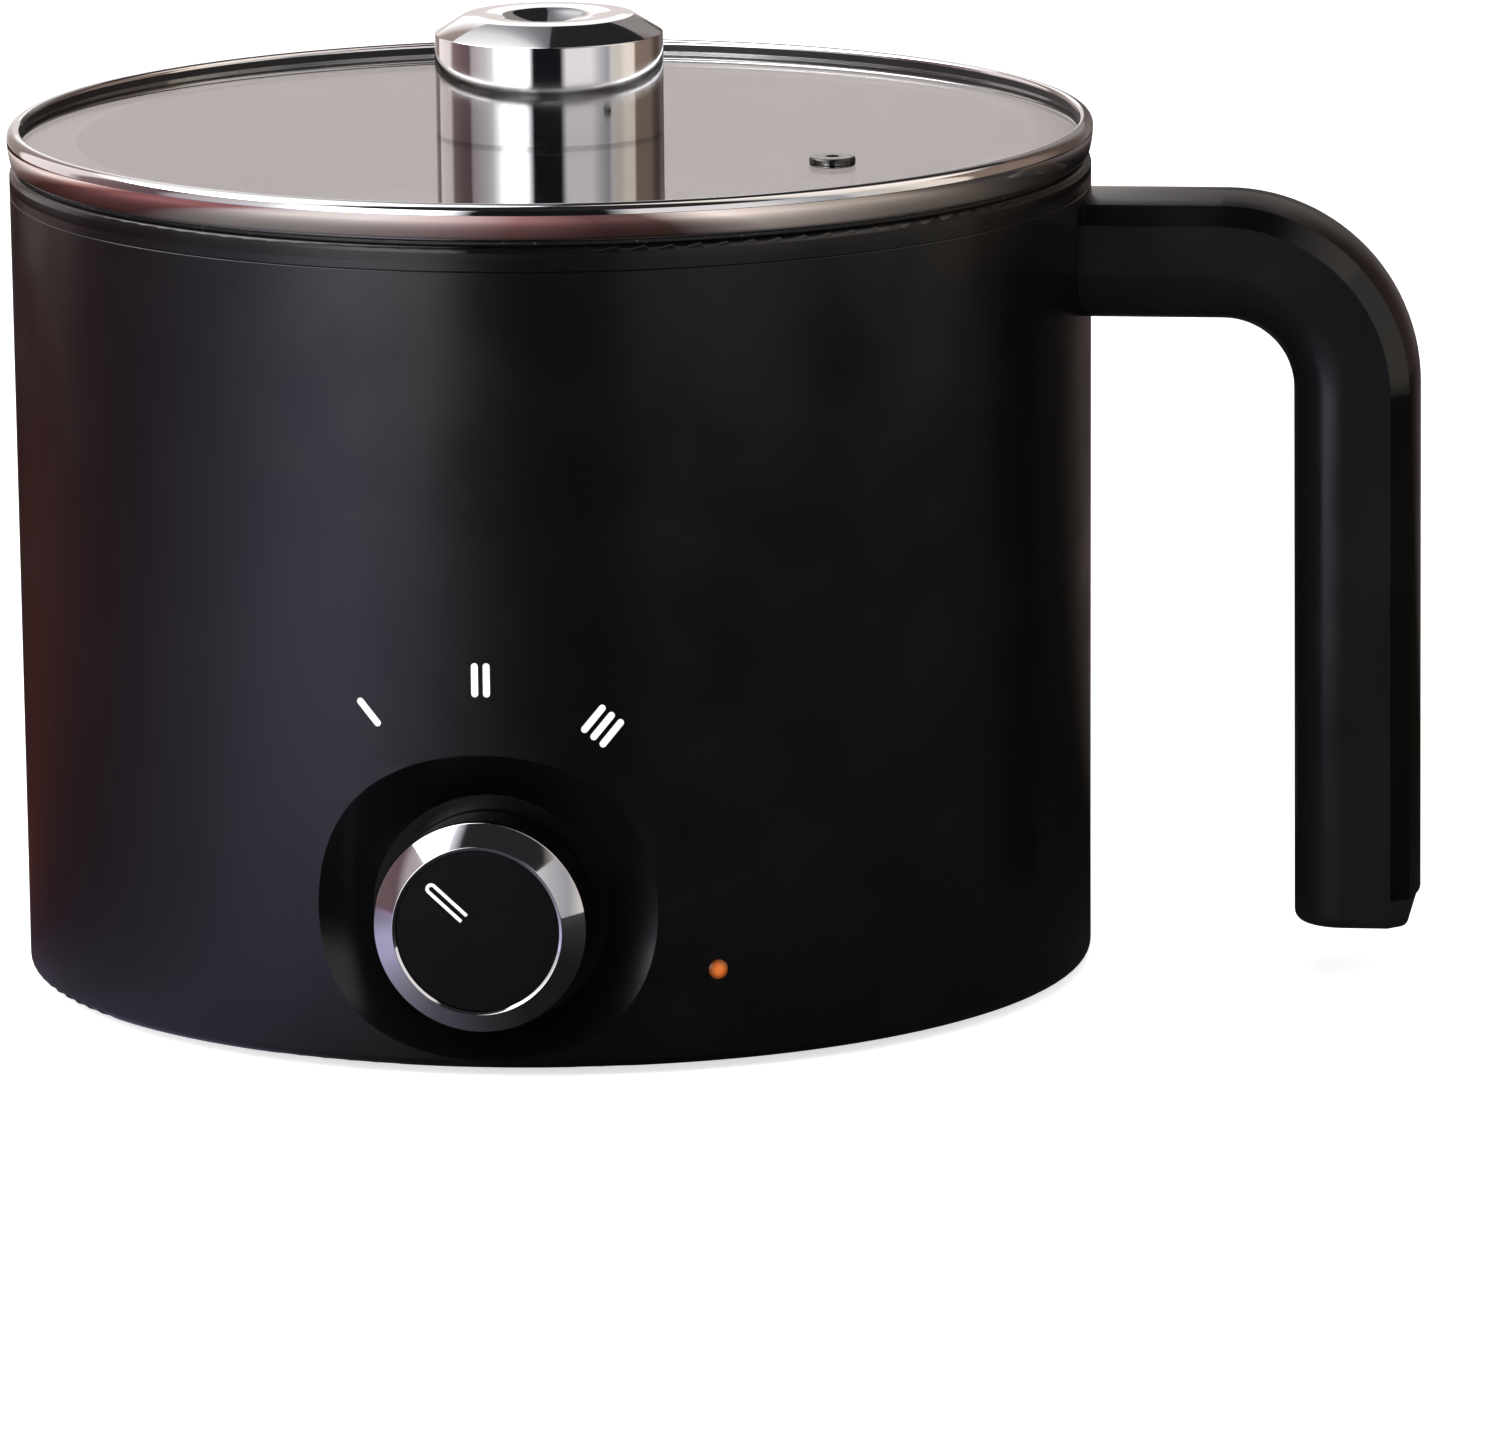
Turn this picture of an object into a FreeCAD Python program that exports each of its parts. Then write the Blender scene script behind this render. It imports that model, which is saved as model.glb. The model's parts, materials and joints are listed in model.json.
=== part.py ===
import FreeCAD, Part
import math
import os

import Sketcher

# Electric wax melter: a non-stick pot hung in a plastic shell, heated from below, with a rotary
# heat switch at the front (-Y), a fixed L-shaped handle at the side (+X), an appliance inlet at
# the back (+Y) and a glass lid that lifts off. The origin is on the pot's axis, on the plane
# that the foot ring stands on. Lengths are in millimetres and angles in degrees.

SIZES = [
    # Outer shell
    ("shell_lift", 1.5),
    ("shell_height", 137.7),
    ("shell_top_radius", 92.0),
    ("shell_taper", 0.7),
    ("shell_wall", 2.5),
    ("shell_top_round", 1.2),
    ("shell_foot_round", 1.5),
    ("seat_rim", 1.4),
    ("lip_thickness", 2.5),
    ("lip_gap", 1.4),
    ("groove_drop", 4.3),
    ("groove_size", 0.15),
    # Pot and its gasket
    ("pot_air_gap", 10.0),
    ("pot_wall", 1.6),
    ("pot_floor_height", 47.9),
    ("pot_bottom_round", 10.0),
    ("pot_mouth_round", 1.0),
    ("flange_thickness", 1.4),
    ("flange_proud", 0.5),
    ("flange_gap", 0.2),
    ("gasket_thickness", 0.8),
    # Heater stack under the pot
    ("plate_inset", 22.0),
    ("plate_thickness", 6.0),
    ("heater_inset", 14.0),
    ("heater_tube_radius", 3.6),
    ("heater_drop", 0.5),
    ("heater_gap_angle", 20.0),
    ("heater_fit", 0.1),
    ("terminal_radius", 1.6),
    ("terminal_length", 12.0),
    ("shield_inset", 2.0),
    ("shield_wall", 0.8),
    ("shield_rim", 9.0),
    ("shield_window_gap", 7.0),
    ("shield_way_gap", 3.0),
    ("standoff_length", 11.5),
    ("standoff_radius", 3.0),
    ("standoff_circle", 30.0),
    ("thermostat_radius", 8.5),
    ("thermostat_height", 7.0),
    ("ear_thickness", 1.2),
    ("ear_width", 10.0),
    ("ear_spacing", 28.0),
    ("blade_thickness", 0.8),
    ("blade_width", 6.0),
    ("blade_length", 9.0),
    ("blade_offset", 4.5),
    ("fuse_radius", 2.6),
    ("fuse_length", 18.0),
    ("fuse_place", 26.0),
    ("fuse_pin_radius", 0.5),
    ("fuse_pin_length", 8.0),
    ("clip_thickness", 0.6),
    ("clip_width", 9.0),
    ("clip_ear", 8.0),
    ("clip_play", 0.1),
    # Small screws and the clearances round them
    ("screw_shank_radius", 1.5),
    ("screw_head_radius", 2.8),
    ("screw_head_height", 2.0),
    ("screw_play", 0.1),
    ("screw_tip_gap", 1.0),
    ("screw_end_wall", 2.0),
    ("sink_play", 0.3),
    # Knob recess, switch and knob
    ("knob_height", 26.7),
    ("dish_depth", 7.3),
    ("knob_side_gap", 2.6),
    ("dish_wall", 2.5),
    ("dish_reach", 16.0),
    ("dish_spread", 47.3),
    ("dish_rise", 17.3),
    ("dish_fall", 9.2),
    ("switch_width", 27.0),
    ("switch_depth", 17.0),
    ("bush_radius", 5.0),
    ("bush_length", 7.0),
    ("bush_play", 0.2),
    ("nut_wall", 2.0),
    ("nut_height", 2.0),
    ("shaft_radius", 3.0),
    ("shaft_play", 0.05),
    ("shaft_flat", 2.3),
    ("shaft_depth", 10.0),
    ("shaft_end_gap", 0.5),
    ("shaft_shoulder", 0.3),
    ("knob_radius", 17.0),
    ("knob_wall", 2.2),
    ("knob_back_gap", 1.0),
    ("knob_length", 10.5),
    ("knob_web", 2.5),
    ("hub_radius", 5.8),
    ("hub_length", 3.5),
    ("ring_overhang", 0.6),
    ("ring_edge", 1.3),
    ("ring_bevel", 3.2),
    ("ring_brow", 0.5),
    ("ring_lead_in", 0.3),
    ("cap_inset", 3.4),
    ("cap_recess", 0.7),
    ("cap_gap", 0.1),
    ("pointer_angle", 47.5),
    ("pointer_start", 3.0),
    ("pointer_end", 11.2),
    ("pointer_width", 1.9),
    ("pointer_line", 0.55),
    ("print_thickness", 0.12),
    ("spring_clip_thickness", 0.8),
    ("spring_clip_width", 2.0),
    ("spring_clip_play", 0.05),
    ("spring_clip_place", 0.5),
    ("spring_clip_angle", 320),
    # Printed level marks on the shell
    ("mark_low_turn", 28.9),
    ("mark_low_reach", 19.7),
    ("mark_middle_reach", 20.8),
    ("mark_high_turn", 31.5),
    ("mark_high_reach", 18.6),
    ("mark_lean", 40.0),
    ("mark_length", 5.7),
    ("mark_width", 1.15),
    ("mark_pitch", 1.95),
    # Pilot lamp
    ("lamp_angle", 24.4),
    ("lamp_height", 17.2),
    ("lens_radius", 1.65),
    ("lens_play", 0.1),
    ("lens_crown", 0.6),
    ("lens_flange_radius", 3.0),
    ("lens_flange_length", 4.5),
    ("holder_radius", 5.0),
    ("holder_length", 14.0),
    ("neon_radius", 2.6),
    ("neon_length", 15.0),
    ("lamp_inset", 0.3),
    # Power inlet
    ("inlet_height", 24.0),
    ("inlet_recess_depth", 6.3),
    ("inlet_recess_width", 40.0),
    ("inlet_recess_height", 30.0),
    ("inlet_flange_width", 38.6),
    ("inlet_flange_height", 28.6),
    ("inlet_flange_thickness", 2.5),
    ("inlet_body_width", 26.0),
    ("inlet_body_height", 20.0),
    ("inlet_body_depth", 23.0),
    ("inlet_mouth_width", 24.0),
    ("inlet_mouth_height", 16.6),
    ("inlet_mouth_depth", 16.0),
    ("inlet_play", 0.2),
    ("inlet_screw_spacing", 32.6),
    ("inlet_screw_length", 8.0),
    ("inlet_boss_radius", 3.0),
    ("inlet_boss_length", 7.0),
    ("pin_width", 2.0),
    ("pin_height", 4.0),
    ("pin_pitch", 7.0),
    ("pin_offset", 2.0),
    ("pin_front", 3.5),
    ("pin_back", 6.0),
    # Base cover and foot ring
    ("base_gap", 0.5),
    ("base_recess", 1.1),
    ("base_thickness", 2.0),
    ("base_pad_height", 2.0),
    ("boss_inset", 8.3),
    ("boss_radius", 6.5),
    ("base_pad_radius", 5.0),
    ("boss_height", 18.0),
    ("boss_end_wall", 3.0),
    ("boss_head_depth", 2.4),
    ("base_screw_head_radius", 3.1),
    ("base_screw_head_height", 2.2),
    ("base_screw_length", 13.0),
    ("vent_inner", 24.0),
    ("vent_outer", 56.0),
    ("vent_width", 4.0),
    ("vent_count", 12),
    ("foot_ring_inset", 17.3),
    ("foot_ring_width", 8.0),
    ("foot_ring_bite", 1.0),
    # Handle
    ("handle_reach", 56.2),
    ("handle_top_drop", 4.5),
    ("handle_end_height", 9.5),
    ("handle_thickness", 21.2),
    ("handle_depth", 25.0),
    ("handle_bend", 33.0),
    ("handle_wall", 3.0),
    ("handle_inner_round", 9.0),
    ("handle_chamfer", 2.9),
    ("handle_crown", 1.2),
    ("cover_depth", 4.3),
    ("cover_end_gap", 5.0),
    ("end_step", 1.3),
    ("end_round", 2.0),
    ("root_bite", 3.3),
    ("root_block", 20.0),
    ("root_merge", 0.5),
    ("handle_screw_radius", 2.0),
    ("handle_screw_head_radius", 3.2),
    ("handle_screw_head_height", 2.2),
    ("handle_screw_length", 16.0),
    ("handle_screw_spacing", 9.0),
    ("handle_screw_centre", 8.0),
    ("bracket_thickness", 1.2),
    ("bracket_height", 16.0),
    ("bracket_width", 30.0),
    ("cover_screw_low", 30.0),
    ("cover_screw_drop", 16.2),
    ("cover_screw_sink", 1.5),
    ("cover_boss_radius", 3.6),
    # Lid
    ("rim_overhang", 0.6),
    ("rim_taper", 0.9),
    ("rim_height", 6.4),
    ("rim_round", 1.7),
    ("rim_foot_round", 1.2),
    ("rim_bead_round", 0.8),
    ("rim_bead_width", 2.6),
    ("rim_lip", 0.9),
    ("rim_wall", 1.8),
    ("rim_skirt_gap", 0.6),
    ("rim_skirt_drop", 3.0),
    ("glass_thickness", 3.5),
    ("glass_gap", 0.2),
    ("lid_knob_radius", 19.4),
    ("lid_knob_height", 19.9),
    ("lid_knob_shoulder", 4.8),
    ("lid_knob_slope", 3.2),
    ("lid_knob_land", 6.2),
    ("lid_knob_dish", 2.5),
    ("lid_knob_wall", 2.5),
    ("lid_post_radius", 6.0),
    ("insert_radius", 3.5),
    ("insert_length", 9.0),
    ("lid_screw_radius", 2.5),
    ("lid_screw_head_radius", 5.0),
    ("lid_screw_head_height", 2.4),
    ("lid_screw_bite", 7.0),
    ("lid_hole_play", 0.5),
    ("lid_washer_radius", 8.0),
    ("lid_washer_thickness", 1.0),
    ("vent_place", 60.6),
    ("vent_angle", 31.1),
    ("grommet_radius", 3.9),
    ("grommet_flange", 0.8),
    ("grommet_neck", 2.8),
    ("grommet_bore", 1.2),
    # Inside wiring
    ("lead_radius", 1.2),
    ("lead_floor", 12.0),
    ("lead_bend", 4.0),
    ("lamp_lead_radius", 0.6),
    ("lamp_lead_swing", 22.0),
]


class Length:
    """A number together with the sheet expression that gives it."""

    def __init__(self, value, text):
        self.value = float(value)
        self.text = text

    def __add__(self, other):
        other = as_length(other)
        return Length(self.value + other.value, f"({self.text} + {other.text})")

    def __sub__(self, other):
        other = as_length(other)
        return Length(self.value - other.value, f"({self.text} - {other.text})")

    def __mul__(self, other):
        other = as_length(other)
        return Length(self.value * other.value, f"({self.text} * {other.text})")

    def __truediv__(self, other):
        other = as_length(other)
        return Length(self.value / other.value, f"({self.text} / {other.text})")

    def __neg__(self):
        return Length(-self.value, f"(0 - {self.text})")

    __radd__ = __add__
    __rmul__ = __mul__

    def __rsub__(self, other):
        return as_length(other) - self


def as_length(number):
    if isinstance(number, Length):
        return number
    return Length(number, repr(number))


def sine(angle):
    angle = as_length(angle)
    return Length(math.sin(math.radians(angle.value)), f"sin({angle.text})")


def cosine(angle):
    angle = as_length(angle)
    return Length(math.cos(math.radians(angle.value)), f"cos({angle.text})")


def root(number):
    return Length(math.sqrt(number.value), f"sqrt({number.text})")


class Sizes:
    """The driving dimensions, each as a Length that names its sheet cell."""

    def __init__(self, rows):
        for alias, value in rows:
            setattr(self, alias, Length(value, f"Sizes.{alias}"))


size = Sizes(SIZES)
doc = FreeCAD.newDocument("wax_melter")
sub_parts = []


def make_sheet():
    sheet = doc.addObject("Spreadsheet::Sheet", "Sizes")
    for row, (alias, value) in enumerate(SIZES, start=1):
        sheet.set(f"A{row}", alias)
        sheet.set(f"B{row}", str(value))
        sheet.setAlias(f"B{row}", alias)
    doc.recompute()


# Heights and radii that several pieces share

FULL_TURN = 360
PAST = 5.0  # how far a cutting tool reaches beyond the face that it opens
SHELL_TOP = size.shell_lift + size.shell_height
FOOT_RADIUS = size.shell_top_radius - size.shell_taper
POT_RADIUS = size.shell_top_radius - size.pot_air_gap
PLATE_RADIUS = POT_RADIUS - size.plate_inset
HEATER_RADIUS = PLATE_RADIUS - size.heater_inset
SHIELD_RADIUS = PLATE_RADIUS - size.shield_inset
FLANGE_TOP = SHELL_TOP + size.flange_proud
FLANGE_UNDER = FLANGE_TOP - size.flange_thickness
SEAT_FLOOR = FLANGE_UNDER - size.gasket_thickness
SEAT_RADIUS = size.shell_top_radius - size.seat_rim
FLANGE_RADIUS = SEAT_RADIUS - size.flange_gap
POT_OUTER = POT_RADIUS + size.pot_wall
LIP_RADIUS = POT_OUTER + size.lip_gap
POT_UNDER = size.pot_floor_height - size.pot_wall
PLATE_UNDER = POT_UNDER - size.plate_thickness
HEATER_PLANE = PLATE_UNDER - size.heater_drop
SHIELD_TOP = PLATE_UNDER - size.standoff_length
SHIELD_UNDER = SHIELD_TOP - size.shield_wall
SCREW_HOLE = size.screw_shank_radius + size.screw_play
DISH_FLOOR = FOOT_RADIUS - size.dish_depth
DISH_BACK = DISH_FLOOR - size.dish_wall
DISH_FLOOR_RADIUS = size.knob_radius + size.knob_side_gap
RING_RADIUS = size.knob_radius + size.ring_overhang
CAP_RADIUS = size.knob_radius - size.cap_inset
SWITCH_BACK = DISH_BACK - size.switch_depth
KNOB_BACK = DISH_FLOOR + size.knob_back_gap
KNOB_FRONT = KNOB_BACK + size.knob_length
BASE_UNDER = size.shell_lift + size.base_recess
BASE_TOP = BASE_UNDER + size.base_thickness
PAD_TOP = BASE_TOP + size.base_pad_height
GLASS_UNDER = FLANGE_TOP + size.rim_lip
GLASS_TOP = GLASS_UNDER + size.glass_thickness
HANDLE_TOP = SHELL_TOP - size.handle_top_drop
HANDLE_UNDER = HANDLE_TOP - size.handle_thickness
GRIP_OUTER = size.shell_top_radius + size.handle_reach
GRIP_INNER = GRIP_OUTER - size.handle_thickness
BEND_X = GRIP_OUTER - size.handle_bend
BEND_Z = HANDLE_TOP - size.handle_bend
ROOT_START = FOOT_RADIUS - size.root_bite
INLET_FLOOR = FOOT_RADIUS - size.inlet_recess_depth
INLET_FRONT = INLET_FLOOR + size.inlet_flange_thickness
INLET_BACK = INLET_FLOOR - size.inlet_body_depth
BOSS_CIRCLE = FOOT_RADIUS - size.boss_inset
FOOT_RING_RADIUS = FOOT_RADIUS - size.foot_ring_inset
RIM_TOP_RADIUS = size.shell_top_radius + size.rim_overhang
RIM_FOOT_RADIUS = RIM_TOP_RADIUS - size.rim_taper
RIM_BEAD_RADIUS = RIM_TOP_RADIUS - size.rim_bead_width


def shell_radius(height):
    """Outer radius of the tapered shell at a height above the table."""
    share = (height - size.shell_lift) / size.shell_height
    return FOOT_RADIUS + (size.shell_top_radius - FOOT_RADIUS) * share


def crown_radius(half, rise):
    """Radius of the arc with this half chord and rise."""
    return (half * half + rise * rise) / (rise * 2)


# Sketches and features


def bind(thing, name, length):
    """Sets a property, or ties it to the sheet where its length comes from there."""
    length = as_length(length)
    thing.setExpression(name, length.text)


def place(thing, x=0, y=0, z=0, turn=0, about=(0, 0, 1)):
    thing.Placement = FreeCAD.Placement(
        FreeCAD.Vector(as_length(x).value, as_length(y).value, as_length(z).value),
        FreeCAD.Rotation(FreeCAD.Vector(*about), as_length(turn).value),
    )
    bind(thing, ".Placement.Base.x", x)
    bind(thing, ".Placement.Base.y", y)
    bind(thing, ".Placement.Base.z", z)
    if isinstance(turn, Length):
        bind(thing, ".Placement.Rotation.Angle", turn)
    return thing


def to_front(thing, height=0):
    """Stands a piece that was built along +Z so that it points to the front."""
    return place(thing, z=height, turn=90, about=(1, 0, 0))


def new_body(name):
    return doc.addObject("PartDesign::Body", name)


def new_sketch(body, name, role="XZ_Plane", offset=None):
    sketch = body.newObject("Sketcher::SketchObject", name)
    plane = [item for item in body.Origin.OriginFeatures if item.Role == role][0]
    sketch.AttachmentSupport = [(plane, "")]
    sketch.MapMode = "FlatFace"
    if offset is not None:
        bind(sketch, ".AttachmentOffset.Base.z", offset)
    return sketch


def pin_point(sketch, edge, end, x, y):
    """Ties one end of a sketch edge to its two coordinates."""
    for kind, axis, coordinate in (("DistanceX", -2, x), ("DistanceY", -1, y)):
        if coordinate.text in ("0", "0.0"):
            sketch.addConstraint(Sketcher.Constraint("PointOnObject", edge, end, axis))
        else:
            rule = Sketcher.Constraint(kind, -1, 1, edge, end, coordinate.value)
            bind(sketch, f"Constraints[{sketch.addConstraint(rule)}]", coordinate)


def arc_between(start, end, radius, side):
    """The short arc from start to end that turns to the named side."""
    chord = end - start
    sign = 1 if side == "left" else -1
    rise = math.sqrt(max(radius * radius - chord.Length * chord.Length / 4, 0))
    normal = FreeCAD.Vector(-chord.y, chord.x, 0).normalize()
    centre = (start + end) * 0.5 + normal * (rise * sign)
    middle = centre - normal * (radius * sign)
    return Part.Arc(start, middle, end)


def outline(sketch, path, closed=True):
    """Draws edges through path, whose entries are (x, y) or, for an arc that ends there,
    (x, y, radius, side)."""
    stops = [(as_length(entry[0]), as_length(entry[1])) for entry in path]
    count = len(path) if closed else len(path) - 1
    ends = []
    for index in range(count):
        following = (index + 1) % len(path)
        start = FreeCAD.Vector(stops[index][0].value, stops[index][1].value, 0)
        end = FreeCAD.Vector(stops[following][0].value, stops[following][1].value, 0)
        bend = path[following][2:]
        if bend:
            radius = as_length(bend[0])
            edge = sketch.addGeometry(arc_between(start, end, radius.value, bend[1]), False)
            rule = Sketcher.Constraint("Radius", edge, radius.value)
            bind(sketch, f"Constraints[{sketch.addConstraint(rule)}]", radius)
            first, last = (1, 2) if bend[1] == "left" else (2, 1)
        else:
            edge = sketch.addGeometry(Part.LineSegment(start, end), False)
            first, last = 1, 2
        ends.append((edge, first, last))
        pin_point(sketch, edge, first, *stops[index])
    for index in range(count):
        edge, first, last = ends[index]
        if closed or index + 1 < count:
            beyond = ends[(index + 1) % count]
            rule = Sketcher.Constraint("Coincident", edge, last, beyond[0], beyond[1])
            sketch.addConstraint(rule)
        else:
            pin_point(sketch, edge, last, *stops[-1])


def ring_outline(sketch, x, y, radius):
    x, y, radius = as_length(x), as_length(y), as_length(radius)
    centre = FreeCAD.Vector(x.value, y.value, 0)
    up = FreeCAD.Vector(0, 0, 1)
    edge = sketch.addGeometry(Part.Circle(centre, up, radius.value), False)
    rule = Sketcher.Constraint("Radius", edge, radius.value)
    bind(sketch, f"Constraints[{sketch.addConstraint(rule)}]", radius)
    pin_point(sketch, edge, 3, x, y)


def ellipse_section(name, place_y, centre_z, half_width, half_height):
    """An elliptical wire that faces the front, for a loft."""
    section = doc.addObject("Part::Ellipse", name)
    bind(section, "MajorRadius", half_width)
    bind(section, "MinorRadius", half_height)
    return place(section, y=-place_y, z=centre_z, turn=90, about=(1, 0, 0))


def spin(name, path, angle=FULL_TURN):
    """A turned piece: path holds (radius, height) entries."""
    body = new_body(name)
    sketch = new_sketch(body, name + "_section")
    outline(sketch, path)
    turned = body.newObject("PartDesign::Revolution", name + "_turned")
    turned.Profile = sketch
    turned.ReferenceAxis = (sketch, ["V_Axis"])
    bind(turned, "Angle", angle)
    return body


def slab(name, path, thickness, role="XZ_Plane", offset=None, both_sides=True):
    """An outline padded to a thickness, across both sides of its plane or along its normal."""
    body = new_body(name)
    sketch = new_sketch(body, name + "_section", role, offset)
    outline(sketch, path)
    pad = body.newObject("PartDesign::Pad", name + "_pad")
    pad.Profile = sketch
    bind(pad, "Length", thickness)
    if both_sides:
        pad.SideType = "Symmetric"
    return body


def rod(name, radius, length, **where):
    piece = doc.addObject("Part::Cylinder", name)
    bind(piece, "Radius", radius)
    bind(piece, "Height", length)
    return place(piece, **where)


def block(name, width, depth, height, x=0, y=0, z=0):
    """A box centred on x and reaching from y and z along +Y and +Z."""
    piece = doc.addObject("Part::Box", name)
    bind(piece, "Length", width)
    bind(piece, "Width", depth)
    bind(piece, "Height", height)
    return place(piece, x=as_length(x) - as_length(width) / 2, y=y, z=z)


def cut(name, base, *tools):
    for number, tool in enumerate(tools, start=1):
        last = number == len(tools)
        step = doc.addObject("Part::Cut", name if last else f"{name}_cut_{number}")
        step.Base = base
        step.Tool = tool
        base = step
    return base


def joined(name, *pieces):
    whole = doc.addObject("Part::MultiFuse", name)
    whole.Shapes = list(pieces)
    return whole


def shared(name, first, second):
    overlap = doc.addObject("Part::Common", name)
    overlap.Base = first
    overlap.Tool = second
    return overlap


def group(name, pieces, turn=0):
    """Identical or linked solids kept side by side, turned together about the pot's axis."""
    bundle = doc.addObject("Part::Compound", name)
    bundle.Links = list(pieces)
    if isinstance(turn, Length):
        place(bundle, turn=turn)
    return bundle


def keep(thing, label):
    thing.Label = label
    sub_parts.append(thing)
    return thing


def ring_path(inner, outer, low, high):
    return [(inner, low), (outer, low), (outer, high), (inner, high)]


def screw_body(name, shank, head, head_height, length):
    """A pan-head screw built along +Z with the head's underside at the origin."""
    path = [(0, 0 - as_length(head_height)), (head, 0 - as_length(head_height)), (head, 0),
            (shank, 0), (shank, length), (0, length)]
    return spin(name, path)


def round_about(count, start=0):
    return [start + FULL_TURN / count * number for number in range(count)]


def polar(radius, angle):
    return radius * cosine(angle), radius * sine(angle)


# Outer shell


def shell_wall():
    top_round = size.shell_top_round
    foot_round = size.shell_foot_round
    groove = SHELL_TOP - size.groove_drop
    lip_under = SEAT_FLOOR - size.lip_thickness
    inner_top = shell_radius(lip_under) - size.shell_wall
    brace = inner_top - LIP_RADIUS
    path = [
        (FOOT_RADIUS - size.shell_wall, size.shell_lift),
        (FOOT_RADIUS - foot_round, size.shell_lift),
        (FOOT_RADIUS, size.shell_lift + foot_round, foot_round, "left"),
        (shell_radius(groove - size.groove_size), groove - size.groove_size),
        (shell_radius(groove) - size.groove_size, groove),
        (shell_radius(groove + size.groove_size), groove + size.groove_size),
        (size.shell_top_radius, SHELL_TOP - top_round),
        (size.shell_top_radius - top_round, SHELL_TOP, top_round, "left"),
        (SEAT_RADIUS, SHELL_TOP),
        (SEAT_RADIUS, SEAT_FLOOR),
        (LIP_RADIUS, SEAT_FLOOR),
        (LIP_RADIUS, lip_under),
        (inner_top, lip_under - brace),
    ]
    return spin("shell_wall", path)


def shell_envelope(name, offset=0):
    """A solid of the shell's outer form, or one that stands in from it by offset."""
    path = [
        (0, size.shell_lift),
        (FOOT_RADIUS - offset, size.shell_lift),
        (size.shell_top_radius - offset, SHELL_TOP),
        (0, SHELL_TOP),
    ]
    return spin(name, path)


def dish_form(name, offset):
    """The knob recess as a solid, or its backing wall's outer form when offset is more than 0."""
    floor_place = DISH_FLOOR - offset
    mouth_place = DISH_FLOOR + size.dish_reach
    radius = DISH_FLOOR_RADIUS + offset
    floor = ellipse_section(name + "_floor", floor_place, size.knob_height, radius, radius)
    mouth = ellipse_section(name + "_mouth", mouth_place,
                            size.knob_height + (size.dish_rise - size.dish_fall) / 2,
                            radius + size.dish_spread,
                            radius + (size.dish_rise + size.dish_fall) / 2)
    loft = doc.addObject("Part::Loft", name)
    loft.Sections = [floor, mouth]
    loft.Solid = True
    loft.Ruled = True
    return loft


def lamp_hole():
    drill = rod("lamp_drill", size.lens_radius + size.lens_play, size.shell_wall * 4,
                y=-(FOOT_RADIUS - size.shell_wall * 2), z=size.lamp_height,
                turn=90, about=(1, 0, 0))
    return group("lamp_drill_turned", [drill], size.lamp_angle)


def boss_angles():
    return round_about(4, 45)


def shell_bosses():
    bosses = []
    for number, angle in enumerate(boss_angles(), start=1):
        x, y = polar(BOSS_CIRCLE, angle)
        bosses.append(rod(f"boss_{number}", size.boss_radius, size.boss_height,
                          x=x, y=y, z=PAD_TOP))
    return bosses


def boss_holes():
    holes = []
    for number, angle in enumerate(boss_angles(), start=1):
        x, y = polar(BOSS_CIRCLE, angle)
        holes.append(rod(f"boss_hole_{number}", SCREW_HOLE, size.boss_height - size.boss_end_wall,
                         x=x, y=y, z=PAD_TOP))
    return holes


def inlet_backing():
    wall = size.shell_wall
    depth = shell_radius(size.inlet_height) - INLET_FLOOR + wall
    return block("inlet_backing", size.inlet_recess_width + wall * 2, depth,
                 size.inlet_recess_height + wall * 2, y=INLET_FLOOR - wall,
                 z=size.inlet_height - size.inlet_recess_height / 2 - wall)


def inlet_screw_places():
    return [-(size.inlet_screw_spacing / 2), size.inlet_screw_spacing / 2]


def inlet_bosses():
    bosses = []
    for number, x in enumerate(inlet_screw_places(), start=1):
        bosses.append(rod(f"inlet_boss_{number}", size.inlet_boss_radius,
                          size.inlet_boss_length, x=x, y=INLET_FLOOR - size.shell_wall,
                          z=size.inlet_height, turn=90, about=(1, 0, 0)))
    return bosses


def inlet_cuts():
    """The inlet's recess, its way through the wall and its two screw holes."""
    recess = block("inlet_recess", size.inlet_recess_width, size.shell_wall * 6,
                   size.inlet_recess_height, y=INLET_FLOOR,
                   z=size.inlet_height - size.inlet_recess_height / 2)
    way = block("inlet_way", size.inlet_body_width + size.inlet_play * 2, size.shell_wall * 4,
                size.inlet_body_height + size.inlet_play * 2,
                y=INLET_FLOOR - size.shell_wall * 2,
                z=size.inlet_height - size.inlet_body_height / 2 - size.inlet_play)
    holes = []
    for number, x in enumerate(inlet_screw_places(), start=1):
        holes.append(rod(f"inlet_screw_hole_{number}", SCREW_HOLE,
                         size.inlet_boss_length + size.shell_wall - size.screw_tip_gap, x=x,
                         y=INLET_FLOOR, z=size.inlet_height, turn=90, about=(1, 0, 0)))
    return [recess, way] + holes


def handle_screw_heights():
    middle = HANDLE_UNDER + size.handle_screw_centre
    return [middle - size.handle_screw_spacing / 2, middle + size.handle_screw_spacing / 2]


def handle_screw_holes(name, start, length):
    holes = []
    for number, height in enumerate(handle_screw_heights(), start=1):
        holes.append(rod(f"{name}_{number}", size.handle_screw_radius + size.screw_play, length,
                         x=start, z=height, turn=90, about=(0, 1, 0)))
    return holes


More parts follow.
